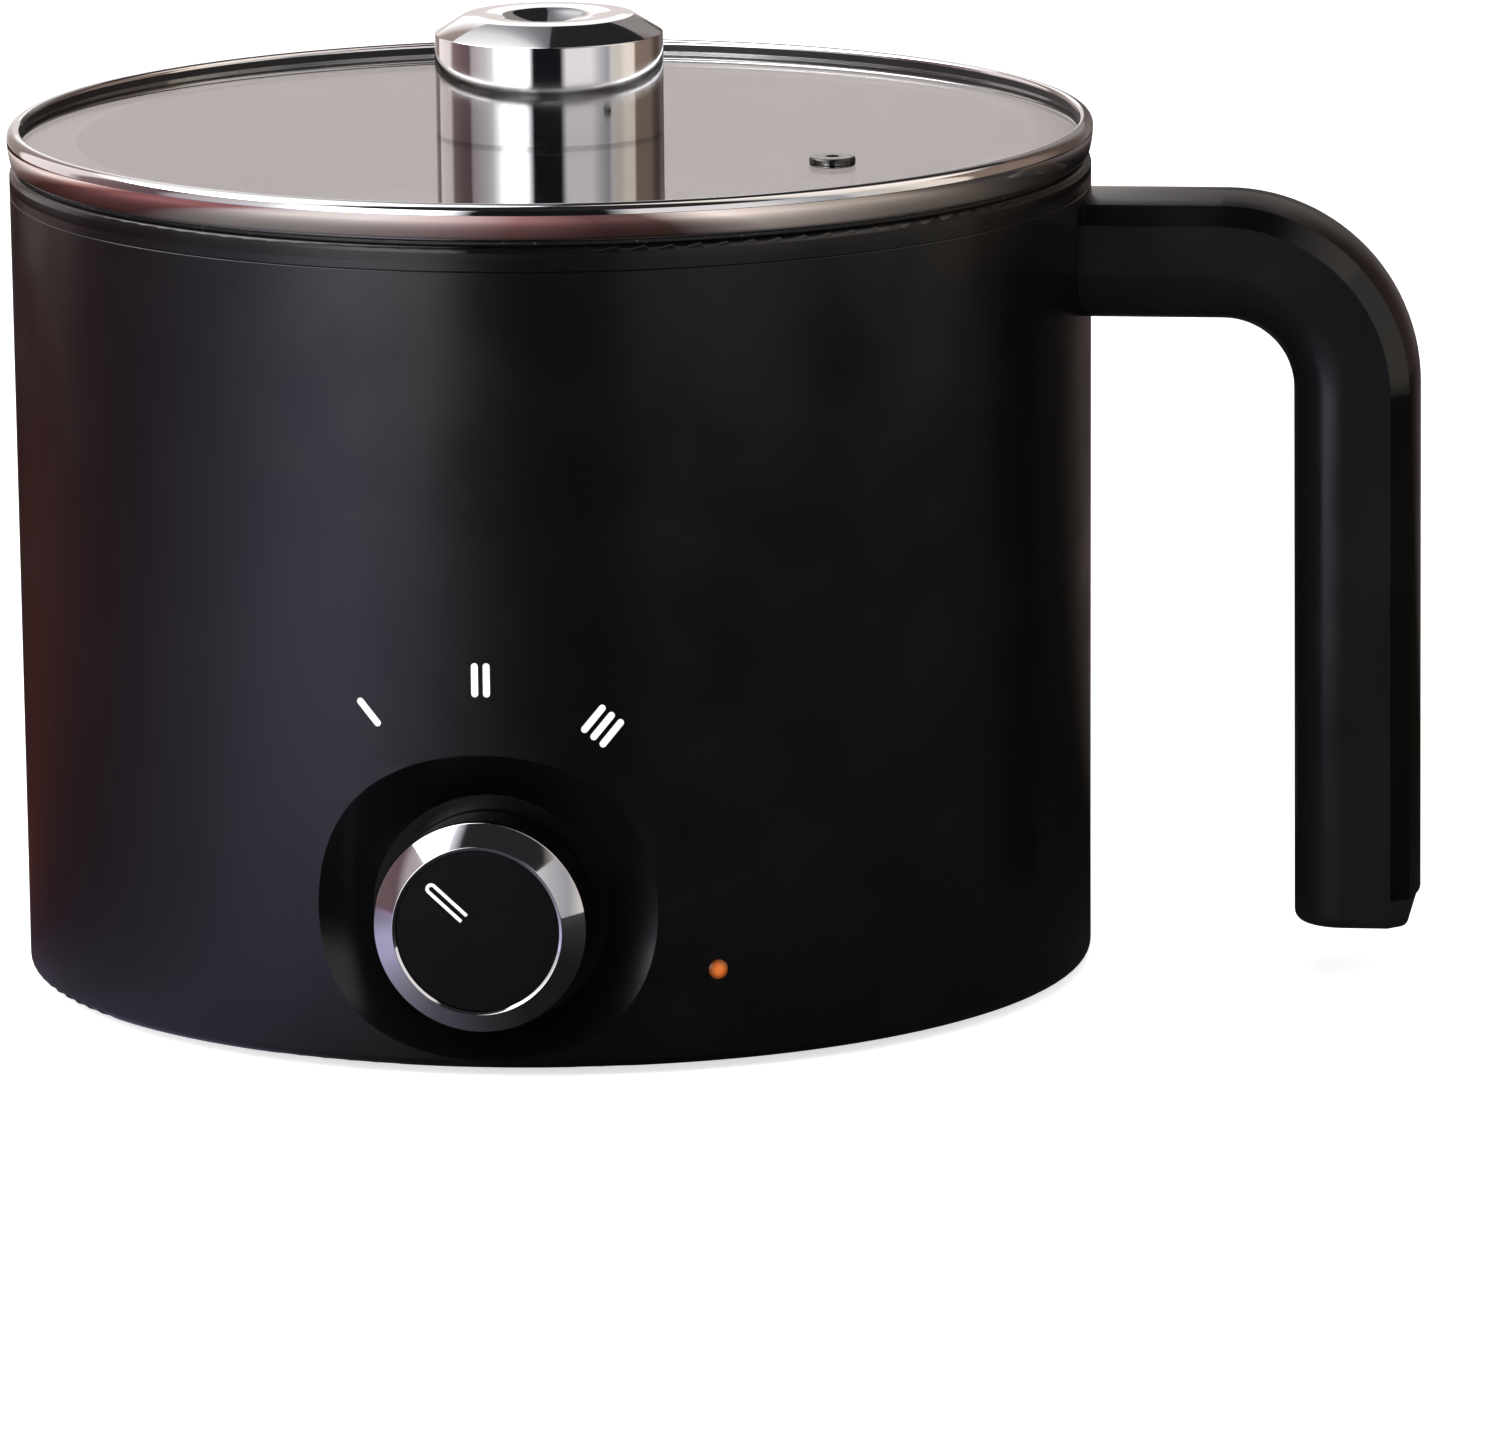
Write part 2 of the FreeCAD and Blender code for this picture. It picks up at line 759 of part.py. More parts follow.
def make_outer_shell():
    backing = joined("backings", dish_form("dish_backing", size.dish_wall), inlet_backing())
    inside = shell_envelope("shell_inside", size.shell_wall / 2)
    trimmed = shared("backings_trimmed", inside, backing)
    full = joined("shell_full", shell_wall(), trimmed, *shell_bosses(), *inlet_bosses())
    bush_hole = rod("bush_hole", size.bush_radius + size.bush_play, size.dish_wall * 3,
                    y=size.dish_wall - DISH_BACK, z=size.knob_height, turn=90, about=(1, 0, 0))
    tools = [dish_form("dish", as_length(0)), bush_hole, lamp_hole()]
    tools += boss_holes() + inlet_cuts()
    tools += handle_screw_holes("shell_handle_hole", POT_OUTER, size.shell_wall * 6)
    return keep(cut("outer_shell", full, joined("shell_tools", *tools)), "outer_shell")


def level_mark(name, centre, lean):
    """One round-ended bar on the unrolled wall, wrapped on by its turn about the pot's axis."""
    across, height = centre
    tip = size.mark_length / 2
    half = size.mark_width / 2
    straight = tip - half
    path = []
    for along, beside, *curve in (
            (-straight, -half), (-tip, 0, half, "left"), (-straight, half, half, "left"),
            (straight, half), (tip, 0, half, "left"), (straight, -half, half, "left")):
        path.append((along * sine(lean) + beside * cosine(lean),
                     height + along * cosine(lean) - beside * sine(lean), *curve))
    bar = slab(name, path, size.shell_top_radius * 4)
    turn = across / shell_radius(height) * Length(180 / math.pi, repr(180 / math.pi))
    return group(name + "_turned", [bar], turn)


def make_level_marks():
    """One, two and three bars round the knob, for its low, middle and high levels."""
    skin_outer = shell_envelope("print_skin_outer", as_length(0) - size.print_thickness)
    skin = cut("print_skin", skin_outer, shell_envelope("print_skin_inner"))
    half = block("print_half", size.shell_top_radius * 3, size.shell_top_radius * 2,
                 size.shell_height * 2, y=-(size.shell_top_radius * 2))
    front_skin = shared("print_front", skin, half)
    marks = []
    for count, turn, lean, reach in (
            (1, -size.mark_low_turn, -size.mark_lean, size.mark_low_reach),
            (2, 0, 0, size.mark_middle_reach),
            (3, size.mark_high_turn, size.mark_lean, size.mark_high_reach)):
        circle = DISH_FLOOR_RADIUS + reach
        centre = (circle * sine(turn), size.knob_height + circle * cosine(turn))
        for number in range(count):
            shift = size.mark_pitch * (number - (count - 1) / 2)
            spot = (centre[0] + shift * cosine(lean), centre[1] - shift * sine(lean))
            name = f"mark_{count}_{number + 1}"
            bar = level_mark(name, spot, lean)
            marks.append(shared(name + "_print", front_skin, bar))
    return keep(group("level_marks", marks), "level_marks")


# Pot and heater stack


def make_pot():
    inner_round = size.pot_bottom_round
    outer_round = size.pot_bottom_round + size.pot_wall
    mouth = size.pot_mouth_round
    path = [
        (0, POT_UNDER),
        (POT_OUTER - outer_round, POT_UNDER),
        (POT_OUTER, POT_UNDER + outer_round, outer_round, "left"),
        (POT_OUTER, FLANGE_UNDER),
        (FLANGE_RADIUS, FLANGE_UNDER),
        (FLANGE_RADIUS, FLANGE_TOP),
        (POT_RADIUS + mouth, FLANGE_TOP),
        (POT_RADIUS, FLANGE_TOP - mouth, mouth, "left"),
        (POT_RADIUS, size.pot_floor_height + inner_round),
        (POT_RADIUS - inner_round, size.pot_floor_height, inner_round, "right"),
        (0, size.pot_floor_height),
    ]
    keep(spin("inner_pot", path), "inner_pot")
    gasket = ring_path(LIP_RADIUS, FLANGE_RADIUS, SEAT_FLOOR, FLANGE_UNDER)
    keep(spin("pot_gasket", gasket), "pot_gasket")


def heater_ring(name, radius, angle):
    """A tube bent round the pot's axis, with its opening towards the back."""
    ring = doc.addObject("Part::Torus", name)
    bind(ring, "Radius1", HEATER_RADIUS)
    bind(ring, "Radius2", radius)
    bind(ring, "Angle3", angle)
    return place(ring, z=HEATER_PLANE, turn=90 + size.heater_gap_angle)


def terminal_places():
    return [polar(HEATER_RADIUS, 90 - size.heater_gap_angle),
            polar(HEATER_RADIUS, 90 + size.heater_gap_angle)]


def standoff_places():
    return [polar(size.standoff_circle, angle) for angle in round_about(3, 90)]


def plate_screw_places():
    """The thermostat's two screws and the fuse clip's one."""
    clip_edge = size.fuse_radius + size.clip_play + size.clip_thickness
    return [(-(size.ear_spacing / 2), as_length(0)), (size.ear_spacing / 2, as_length(0)),
            (as_length(0), -(size.fuse_place + clip_edge + size.clip_ear / 2))]


def make_heating_plate():
    disc = rod("plate_disc", PLATE_RADIUS, size.plate_thickness, z=PLATE_UNDER)
    groove = heater_ring("plate_groove", size.heater_tube_radius + size.heater_fit, FULL_TURN)
    holes = []
    for number, (x, y) in enumerate(plate_screw_places(), start=1):
        holes.append(rod(f"plate_hole_{number}", SCREW_HOLE,
                         size.plate_thickness - size.screw_tip_gap,
                         x=x, y=y, z=PLATE_UNDER))
    keep(cut("heating_plate", disc, groove, *holes), "heating_plate")


def make_heating_element():
    ring = heater_ring("heater_tube", size.heater_tube_radius,
                       FULL_TURN - size.heater_gap_angle * 2)
    ends = []
    for number, (x, y) in enumerate(terminal_places(), start=1):
        ends.append(rod(f"terminal_{number}", size.terminal_radius, size.terminal_length,
                        x=x, y=y, z=HEATER_PLANE - size.terminal_length))
    keep(joined("heating_element", ring, *ends), "heating_element")


def make_heat_shield():
    wall = size.shield_wall
    pan = spin("shield_pan", [
        (0, SHIELD_UNDER),
        (SHIELD_RADIUS, SHIELD_UNDER),
        (SHIELD_RADIUS, SHIELD_TOP + size.shield_rim),
        (SHIELD_RADIUS - wall, SHIELD_TOP + size.shield_rim),
        (SHIELD_RADIUS - wall, SHIELD_TOP),
        (0, SHIELD_TOP),
    ])
    low = SHIELD_UNDER - wall
    tools = [rod("shield_middle", size.thermostat_radius + size.shield_window_gap, wall * 3,
                 z=low)]
    for number, (x, y) in enumerate(terminal_places(), start=1):
        tools.append(rod(f"shield_way_{number}", size.terminal_radius + size.shield_way_gap,
                         wall * 3, x=x, y=y, z=low))
    for number, (x, y) in enumerate(standoff_places(), start=1):
        tools.append(rod(f"shield_hole_{number}", SCREW_HOLE, wall * 3, x=x, y=y, z=low))
    keep(cut("heat_shield", pan, joined("shield_tools", *tools)), "heat_shield")


def make_standoffs():
    posts = []
    screws = []
    for number, (x, y) in enumerate(standoff_places(), start=1):
        post = rod(f"post_{number}", size.standoff_radius, size.standoff_length,
                   x=x, y=y, z=SHIELD_TOP)
        depth = size.standoff_length - size.screw_end_wall - size.screw_tip_gap
        hole = rod(f"post_hole_{number}", SCREW_HOLE, depth, x=x, y=y, z=SHIELD_TOP)
        posts.append(cut(f"post_bored_{number}", post, hole))
        screw = screw_body(f"shield_screw_{number}", size.screw_shank_radius,
                           size.screw_head_radius, size.screw_head_height,
                           depth - size.screw_tip_gap)
        screws.append(place(screw, x=x, y=y, z=SHIELD_UNDER))
    keep(group("shield_standoffs", posts), "shield_standoffs")
    keep(group("shield_screws", screws), "shield_screws")


def make_thermostat():
    ear_under = PLATE_UNDER - size.ear_thickness
    cup = rod("thermostat_cup", size.thermostat_radius, size.thermostat_height,
              z=PLATE_UNDER - size.thermostat_height)
    ears = block("thermostat_ears", size.ear_spacing + size.ear_width, size.ear_width,
                 size.ear_thickness, y=-(size.ear_width / 2), z=ear_under)
    blades = []
    for number, side in enumerate((-1, 1), start=1):
        blades.append(block(f"thermostat_blade_{number}", size.blade_width, size.blade_thickness,
                            size.blade_length + size.ear_thickness,
                            y=size.blade_offset * side,
                            z=PLATE_UNDER - size.thermostat_height - size.blade_length))
    whole = joined("thermostat_whole", cup, ears, *blades)
    holes = [rod(f"ear_hole_{number}", SCREW_HOLE, size.ear_thickness * 3, x=x, y=y,
                 z=ear_under - size.ear_thickness)
             for number, (x, y) in enumerate(plate_screw_places()[:2], start=1)]
    keep(cut("thermostat", whole, *holes), "thermostat")
    screws = []
    unders = [ear_under, ear_under, PLATE_UNDER - size.clip_thickness]
    for number, (x, y) in enumerate(plate_screw_places(), start=1):
        screw = screw_body(f"plate_screw_{number}", size.screw_shank_radius,
                           size.screw_head_radius, size.screw_head_height,
                           size.plate_thickness - size.screw_tip_gap * 1.5)
        screws.append(place(screw, x=x, y=y, z=unders[number - 1]))
    keep(group("plate_screws", screws), "plate_screws")


def make_thermal_fuse():
    """A sleeved fuse along X, held up against the heating plate by a strap."""
    height = PLATE_UNDER - size.fuse_radius
    sleeve = rod("fuse_sleeve", size.fuse_radius, size.fuse_length,
                 x=-(size.fuse_length / 2), y=-size.fuse_place, z=height,
                 turn=90, about=(0, 1, 0))
    pins = rod("fuse_wires", size.fuse_pin_radius, size.fuse_length + size.fuse_pin_length * 2,
               x=-(size.fuse_length / 2 + size.fuse_pin_length), y=-size.fuse_place, z=height,
               turn=90, about=(0, 1, 0))
    keep(joined("thermal_fuse", sleeve, pins), "thermal_fuse")
    inner = size.fuse_radius + size.clip_play
    outer = inner + size.clip_thickness
    middle = -size.fuse_place
    path = [
        (middle + inner, PLATE_UNDER),
        (middle + inner, height),
        (middle, height - inner, inner, "right"),
        (middle - inner, height, inner, "right"),
        (middle - inner, PLATE_UNDER),
        (middle - outer - size.clip_ear, PLATE_UNDER),
        (middle - outer - size.clip_ear, PLATE_UNDER - size.clip_thickness),
        (middle - outer, PLATE_UNDER - size.clip_thickness),
        (middle - outer, height),
        (middle, height - outer, outer, "left"),
        (middle + outer, height, outer, "left"),
        (middle + outer, PLATE_UNDER),
    ]
    strap = slab("clip_strap", path, size.clip_width, role="YZ_Plane")
    x, y = plate_screw_places()[2]
    hole = rod("clip_hole", SCREW_HOLE, size.clip_thickness * 4, x=x, y=y,
               z=PLATE_UNDER - size.clip_thickness * 2)
    keep(cut("fuse_clip", strap, hole), "fuse_clip")


# Switch and control knob. These pieces are built along +Z and turned to the front, so their
# heights are distances from the pot's axis.


def make_rotary_switch():
    half = size.switch_width / 2
    square = [(-half, -half), (half, -half), (half, half), (-half, half)]
    case = slab("switch_case", square, size.switch_depth, role="XY_Plane", offset=SWITCH_BACK,
                both_sides=False)
    bush = rod("switch_bush", size.bush_radius, size.bush_length, z=DISH_BACK)
    bore = rod("switch_bore", size.shaft_radius + size.shaft_play,
               size.shaft_depth + size.bush_length + PAST,
               z=DISH_BACK - size.shaft_depth - size.shaft_end_gap)
    tabs = [block(f"switch_tab_{number}", size.blade_width, size.blade_thickness,
                  size.blade_length + size.blade_thickness, x=size.pin_pitch * side,
                  z=SWITCH_BACK - size.blade_length)
            for number, side in enumerate((-1, 1), start=1)]
    whole = joined("switch_whole", case, bush, *tabs)
    keep(to_front(cut("rotary_switch", whole, bore), size.knob_height), "rotary_switch")
    nut = doc.addObject("Part::Prism", "nut_blank")
    nut.Polygon = 6
    bind(nut, "Circumradius", (size.bush_radius + size.nut_wall) / cosine(30))
    bind(nut, "Height", size.nut_height)
    place(nut, z=DISH_FLOOR)
    thread = rod("nut_bore", size.bush_radius + size.screw_play, size.nut_height * 3,
                 z=DISH_FLOOR - size.nut_height)
    keep(to_front(cut("switch_nut", nut, thread), size.knob_height), "switch_nut")


def d_outline(sketch, radius, flat):
    """A circle with one flat, as on a switch shaft, with the flat facing +Y."""
    edge = root(radius * radius - flat * flat)
    outline(sketch, [(edge, flat, radius, "left"), (-edge, flat), (-radius, 0, radius, "left"),
                     (0, -radius, radius, "left"), (radius, 0, radius, "left")])


def make_switch_shaft():
    body = new_body("switch_shaft")
    start = DISH_BACK - size.shaft_depth
    round_end = DISH_BACK + size.bush_length + size.shaft_shoulder
    round_sketch = new_sketch(body, "shaft_round", "XY_Plane", start)
    ring_outline(round_sketch, 0, 0, size.shaft_radius)
    round_pad = body.newObject("PartDesign::Pad", "shaft_round_pad")
    round_pad.Profile = round_sketch
    bind(round_pad, "Length", round_end - start)
    flat_sketch = new_sketch(body, "shaft_flat_section", "XY_Plane", round_end)
    d_outline(flat_sketch, size.shaft_radius, size.shaft_flat)
    flat_pad = body.newObject("PartDesign::Pad", "shaft_flat_pad")
    flat_pad.Profile = flat_sketch
    bind(flat_pad, "Length", KNOB_FRONT - size.knob_web - round_end)
    keep(to_front(body, size.knob_height), "switch_shaft")


def make_knob_body():
    inner = size.knob_radius - size.knob_wall
    web_back = KNOB_FRONT - size.knob_web
    hub_back = web_back - size.hub_length
    shape = spin("knob_shell", [
        (0, hub_back),
        (size.hub_radius, hub_back),
        (size.hub_radius, web_back),
        (inner, web_back),
        (inner, KNOB_BACK),
        (size.knob_radius, KNOB_BACK),
        (size.knob_radius, KNOB_FRONT),
        (0, KNOB_FRONT),
    ])
    bore = new_body("knob_bore")
    sketch = new_sketch(bore, "knob_bore_section", "XY_Plane", hub_back - PAST)
    play = size.shaft_play
    d_outline(sketch, size.shaft_radius + play, size.shaft_flat + play)
    pad = bore.newObject("PartDesign::Pad", "knob_bore_pad")
    pad.Profile = sketch
    bind(pad, "Length", size.hub_length + PAST)
    keep(to_front(cut("knob_body", shape, bore), size.knob_height), "knob_body")


def make_knob_face():
    """The chrome bezel, the black cap inside it and the printed pointer."""
    ring_front = KNOB_FRONT + size.ring_edge + size.ring_bevel
    cap_front = ring_front - size.cap_recess
    ring = spin("knob_ring", [
        (CAP_RADIUS, KNOB_FRONT),
        (RING_RADIUS, KNOB_FRONT),
        (RING_RADIUS, KNOB_FRONT + size.ring_edge),
        (CAP_RADIUS + size.ring_brow, ring_front),
        (CAP_RADIUS, ring_front - size.ring_lead_in),
    ])
    keep(to_front(ring, size.knob_height), "knob_ring")
    cap = rod("knob_cap", CAP_RADIUS - size.cap_gap, cap_front - KNOB_FRONT)
    place(cap, y=-KNOB_FRONT, z=size.knob_height, turn=90, about=(1, 0, 0))
    keep(cap, "knob_cap")
    keep(knob_pointer(cap_front), "knob_pointer")


def knob_pointer(cap_front):
    """A U-shaped outline, open towards the knob's axis, that leans to the left of upright."""
    half = size.pointer_width / 2
    line = size.pointer_line
    inner = half - line
    bend = size.pointer_end - half
    path = [
        (-half, size.pointer_start), (-inner, size.pointer_start),
        (-inner, bend), (0, bend + inner, inner, "right"), (inner, bend, inner, "right"),
        (inner, size.pointer_start), (half, size.pointer_start),
        (half, bend), (0, bend + half, half, "left"), (-half, bend, half, "left"),
    ]
    body = slab("pointer_print", path, size.print_thickness, role="XY_Plane",
                offset=cap_front, both_sides=False)
    place(body, turn=size.pointer_angle)
    return to_front(group("knob_pointer", [body]), size.knob_height)


def make_knob_clip():
    """An open spring ring round the knob's hub."""
    low = KNOB_FRONT - size.knob_web - size.hub_length + size.spring_clip_place
    inner = size.hub_radius + size.spring_clip_play
    path = ring_path(inner, inner + size.spring_clip_thickness, low, low + size.spring_clip_width)
    ring = spin("knob_clip", path, size.spring_clip_angle)
    keep(to_front(ring, size.knob_height), "knob_clip")


# Pilot lamp, built to the front and then turned about the pot's axis


def make_lamp():
    wall = shell_radius(size.lamp_height)
    flange_front = wall - size.shell_wall - size.lamp_inset
    lens = spin("lens_turned", [
        (0, flange_front - size.lens_flange_length),
        (size.lens_flange_radius, flange_front - size.lens_flange_length),
        (size.lens_flange_radius, flange_front),
        (size.lens_radius, flange_front),
        (size.lens_radius, wall),
        (0, wall + size.lens_crown, crown_radius(size.lens_radius, size.lens_crown), "left"),
    ])
    holder_back = flange_front - size.holder_length
    bore = size.lens_flange_radius + size.lens_play
    tube = ring_path(bore, size.holder_radius, holder_back, flange_front)
    holder = spin("holder_turned", tube)
    neon_front = flange_front - size.lens_flange_length - size.lamp_inset
    neon_back = neon_front - size.neon_length
    neon = spin("neon_turned", [
        (0, neon_back),
        (size.neon_radius, neon_back),
        (size.neon_radius, neon_front - size.neon_radius),
        (0, neon_front, size.neon_radius, "left"),
    ])
    for piece, label in ((lens, "lamp_lens"), (holder, "lamp_holder"), (neon, "neon_lamp")):
        to_front(piece, size.lamp_height)
        keep(group(label, [piece], size.lamp_angle), label)


# Power inlet


def pin_places():
    """Line, neutral and the raised earth pin between them."""
    low = size.inlet_height - size.pin_offset
    return [(-size.pin_pitch, low), (size.pin_pitch, low),
            (as_length(0), size.inlet_height + size.pin_offset)]


def make_power_inlet():
    flange = block("inlet_flange", size.inlet_flange_width, size.inlet_flange_thickness,
                   size.inlet_flange_height, y=INLET_FLOOR,
                   z=size.inlet_height - size.inlet_flange_height / 2)
    case = block("inlet_case", size.inlet_body_width,
                 size.inlet_body_depth + size.inlet_flange_thickness / 2,
                 size.inlet_body_height, y=INLET_BACK,
                 z=size.inlet_height - size.inlet_body_height / 2)
    mouth = block("inlet_mouth", size.inlet_mouth_width, size.inlet_mouth_depth + PAST,
                  size.inlet_mouth_height, y=INLET_FRONT - size.inlet_mouth_depth,
                  z=size.inlet_height - size.inlet_mouth_height / 2)
    tools = [mouth]
    for number, (x, z) in enumerate(pin_places(), start=1):
        tools.append(block(f"pin_slot_{number}", size.pin_width, size.inlet_body_depth,
                           size.pin_height, x=x, y=INLET_BACK - size.pin_width,
                           z=z - size.pin_height / 2))
    for number, x in enumerate(inlet_screw_places(), start=1):
        tools.append(rod(f"flange_hole_{number}", SCREW_HOLE, size.inlet_flange_thickness * 3,
                         x=x, y=INLET_FRONT + size.inlet_flange_thickness, z=size.inlet_height,
                         turn=90, about=(1, 0, 0)))
    whole = joined("inlet_whole", flange, case)
    keep(cut("power_inlet", whole, joined("inlet_tools", *tools)), "power_inlet")
    pins = []
    length = size.inlet_body_depth + size.inlet_flange_thickness - size.pin_front + size.pin_back
    for number, (x, z) in enumerate(pin_places(), start=1):
        pins.append(block(f"pin_{number}", size.pin_width, length, size.pin_height,
                          x=x, y=INLET_BACK - size.pin_back, z=z - size.pin_height / 2))
    keep(group("inlet_pins", pins), "inlet_pins")
    screws = []
    for number, x in enumerate(inlet_screw_places(), start=1):
        screw = screw_body(f"inlet_screw_{number}", size.screw_shank_radius,
                           size.screw_head_radius, size.screw_head_height,
                           size.inlet_screw_length)
        screws.append(place(screw, x=x, y=INLET_FRONT, z=size.inlet_height,
                            turn=90, about=(1, 0, 0)))
    keep(group("inlet_screws", screws), "inlet_screws")


# Base cover and foot ring


def make_base_cover():
    body = new_body("base_plate")
    sketch = new_sketch(body, "base_disc", "XY_Plane", BASE_UNDER)
    ring_outline(sketch, 0, 0, FOOT_RADIUS - size.shell_wall - size.base_gap)
    pad = body.newObject("PartDesign::Pad", "base_disc_pad")
    pad.Profile = sketch
    bind(pad, "Length", size.base_thickness)
    half = size.vent_width / 2
    slot = new_sketch(body, "vent_slot", "XY_Plane", BASE_UNDER)
    outline(slot, [
        (size.vent_inner, -half, half, "left"),
        (size.vent_outer, -half),
        (size.vent_outer + half, 0, half, "left"),
        (size.vent_outer, half, half, "left"),
        (size.vent_inner, half),
        (size.vent_inner - half, 0, half, "left"),
    ])
    doc.recompute()
    pocket = body.newObject("PartDesign::Pocket", "vent_pocket")
    pocket.Profile = slot
    pocket.Reversed = True
    bind(pocket, "Length", size.base_thickness)
    pattern = body.newObject("PartDesign::PolarPattern", "vent_pattern")
    pattern.Originals = [pocket]
    pattern.Axis = (sketch, ["N_Axis"])
    pattern.Angle = FULL_TURN
    bind(pattern, "Occurrences", size.vent_count)
    body.Tip = pattern
    pads, tools, screws = [], [], []
    for number, angle in enumerate(boss_angles(), start=1):
        x, y = polar(BOSS_CIRCLE, angle)
        pads.append(rod(f"base_pad_{number}", size.base_pad_radius,
                        size.base_thickness + size.base_pad_height, x=x, y=y, z=BASE_UNDER))
        tools.append(rod(f"base_sink_{number}", size.base_screw_head_radius + size.sink_play,
                         size.boss_head_depth + PAST, x=x, y=y, z=BASE_UNDER - PAST))
        tools.append(rod(f"base_hole_{number}", SCREW_HOLE, PAD_TOP, x=x, y=y, z=BASE_UNDER))
        screw = screw_body(f"base_screw_{number}", size.screw_shank_radius,
                           size.base_screw_head_radius, size.base_screw_head_height,
                           size.base_screw_length)
        screws.append(place(screw, x=x, y=y, z=BASE_UNDER + size.boss_head_depth))
    groove = foot_ring_path(BASE_UNDER - PAST, BASE_UNDER + size.foot_ring_bite)
    ring_low = spin("foot_groove", groove)
    whole = joined("base_whole", body, *pads)
    dish_way = dish_form("base_dish_way", size.dish_wall + size.base_gap)
    tools += [ring_low, dish_way]
    keep(cut("base_cover", whole, joined("base_tools", *tools)), "base_cover")
    keep(group("base_screws", screws), "base_screws")


def foot_ring_path(low, high):
    half = size.foot_ring_width / 2
    return ring_path(FOOT_RING_RADIUS - half, FOOT_RING_RADIUS + half, low, high)


def make_foot_ring():
    path = foot_ring_path(as_length(0), BASE_UNDER + size.foot_ring_bite)
    keep(spin("foot_ring", path), "foot_ring")


# Handle. Its section is drawn at the root, with height above the leg's underside, and swept
# along the leg, round the bend and down the grip.


def handle_spine(body, name, end_height):
    spine = new_sketch(body, name)
    bend = size.handle_bend - size.handle_thickness
    outline(spine, [
        (ROOT_START, HANDLE_UNDER),
        (BEND_X, HANDLE_UNDER),
        (BEND_X + bend, BEND_Z, bend, "right"),
        (GRIP_INNER, end_height),
    ], closed=False)
    return spine


def swept(name, section_path, end_height):
    """Sweeps a section along the handle. The section holds (across, above underside)."""
    body = new_body(name)
    spine = handle_spine(body, name + "_spine", end_height)
    section = new_sketch(body, name + "_section", "YZ_Plane", ROOT_START)
    outline(section, [(entry[0], HANDLE_UNDER + entry[1], *entry[2:]) for entry in section_path])
    doc.recompute()
    pipe = body.newObject("PartDesign::AdditivePipe", name + "_pipe")
    pipe.Profile = section
    pipe.Spine = spine
    return body


def cover_section():
    half = size.handle_depth / 2
    low = size.handle_thickness - size.cover_depth
    edge = size.handle_thickness - size.handle_crown
    shoulder = half - size.handle_chamfer
    crown = crown_radius(shoulder, size.handle_crown)
    return [(-half, low), (half, low), (shoulder, edge),
            (0, size.handle_thickness, crown, "left"), (-shoulder, edge, crown, "left")]


def channel_section():
    half = size.handle_depth / 2
    low = size.handle_thickness - size.cover_depth
    bend = size.handle_inner_round
    wall = size.handle_wall
    inner = bend - wall
    return [
        (bend - half, 0, bend, "left"), (half - bend, 0), (half, bend, bend, "left"),
        (half, low), (half - wall, low), (half - wall, bend),
        (half - bend, wall, inner, "right"), (bend - half, wall),
        (wall - half, bend, inner, "right"), (wall - half, low), (-half, low), (-half, bend),
    ]


def solid_section():
    """The channel filled up to the spine strip, for the root block."""
    half = size.handle_depth / 2
    low = size.handle_thickness - size.cover_depth
    inner = half - size.handle_wall
    floor = size.handle_wall - size.root_merge
    bend = size.handle_inner_round - size.handle_wall
    return [
        (bend - inner, floor, bend, "left"), (inner - bend, floor),
        (inner, floor + bend, bend, "left"), (inner, low), (-inner, low), (-inner, floor + bend),
    ]


def handle_end_block():
    """The closed lower end, set in a little from the spine strip."""
    half = size.handle_depth / 2
    outer = GRIP_OUTER - size.end_step
    edge = outer - size.handle_chamfer
    bend = size.handle_inner_round
    path = [
        (GRIP_INNER + bend, -half, bend, "left"), (edge, -half),
        (outer, size.handle_chamfer - half), (outer, half - size.handle_chamfer),
        (edge, half), (GRIP_INNER + bend, half), (GRIP_INNER, half - bend, bend, "left"),
        (GRIP_INNER, bend - half),
    ]
    body = new_body("handle_end")
    sketch = new_sketch(body, "handle_end_section", "XY_Plane", size.handle_end_height)
    outline(sketch, path)
    pad = body.newObject("PartDesign::Pad", "handle_end_pad")
    pad.Profile = sketch
    bind(pad, "Length", size.cover_end_gap)
    doc.recompute()
    low = size.handle_end_height.value
    edges = [f"Edge{number}" for number, edge in enumerate(pad.Shape.Edges, start=1)
             if edge.BoundBox.ZMax < low + 0.01]
    fillet = body.newObject("PartDesign::Fillet", "handle_end_round")
    fillet.Base = (pad, edges)
    bind(fillet, "Radius", size.end_round)
    return body


def cover_screw_heights():
    return [size.cover_screw_low, BEND_Z - size.cover_screw_drop]


def make_handle_body():
    channel = swept("handle_channel", channel_section(),
                    size.handle_end_height + size.cover_end_gap - size.root_merge)
    block_body = new_body("root_block")
    sketch = new_sketch(block_body, "root_block_section", "YZ_Plane", ROOT_START)
    outline(sketch, [(entry[0], HANDLE_UNDER + entry[1], *entry[2:])
                     for entry in solid_section()])
    pad = block_body.newObject("PartDesign::Pad", "root_block_pad")
    pad.Profile = sketch
    bind(pad, "Length", size.root_block)
    whole = joined("handle_whole", channel, block_body, handle_end_block())
    tools = [shell_envelope("handle_root_form")]
    tools += handle_screw_holes("handle_hole", ROOT_START,
                                size.handle_screw_length + size.screw_tip_gap)
    for number, height in enumerate(cover_screw_heights(), start=1):
        tools.append(rod(f"cover_hole_{number}", SCREW_HOLE, size.handle_wall * 2 + PAST,
                         x=GRIP_INNER - PAST, z=height, turn=90, about=(0, 1, 0)))
        tools.append(rod(f"cover_sink_{number}", size.screw_head_radius + size.sink_play,
                         size.cover_screw_sink + PAST, x=GRIP_INNER - PAST, z=height,
                         turn=90, about=(0, 1, 0)))
    keep(cut("handle_body", whole, joined("handle_tools", *tools)), "handle_body")


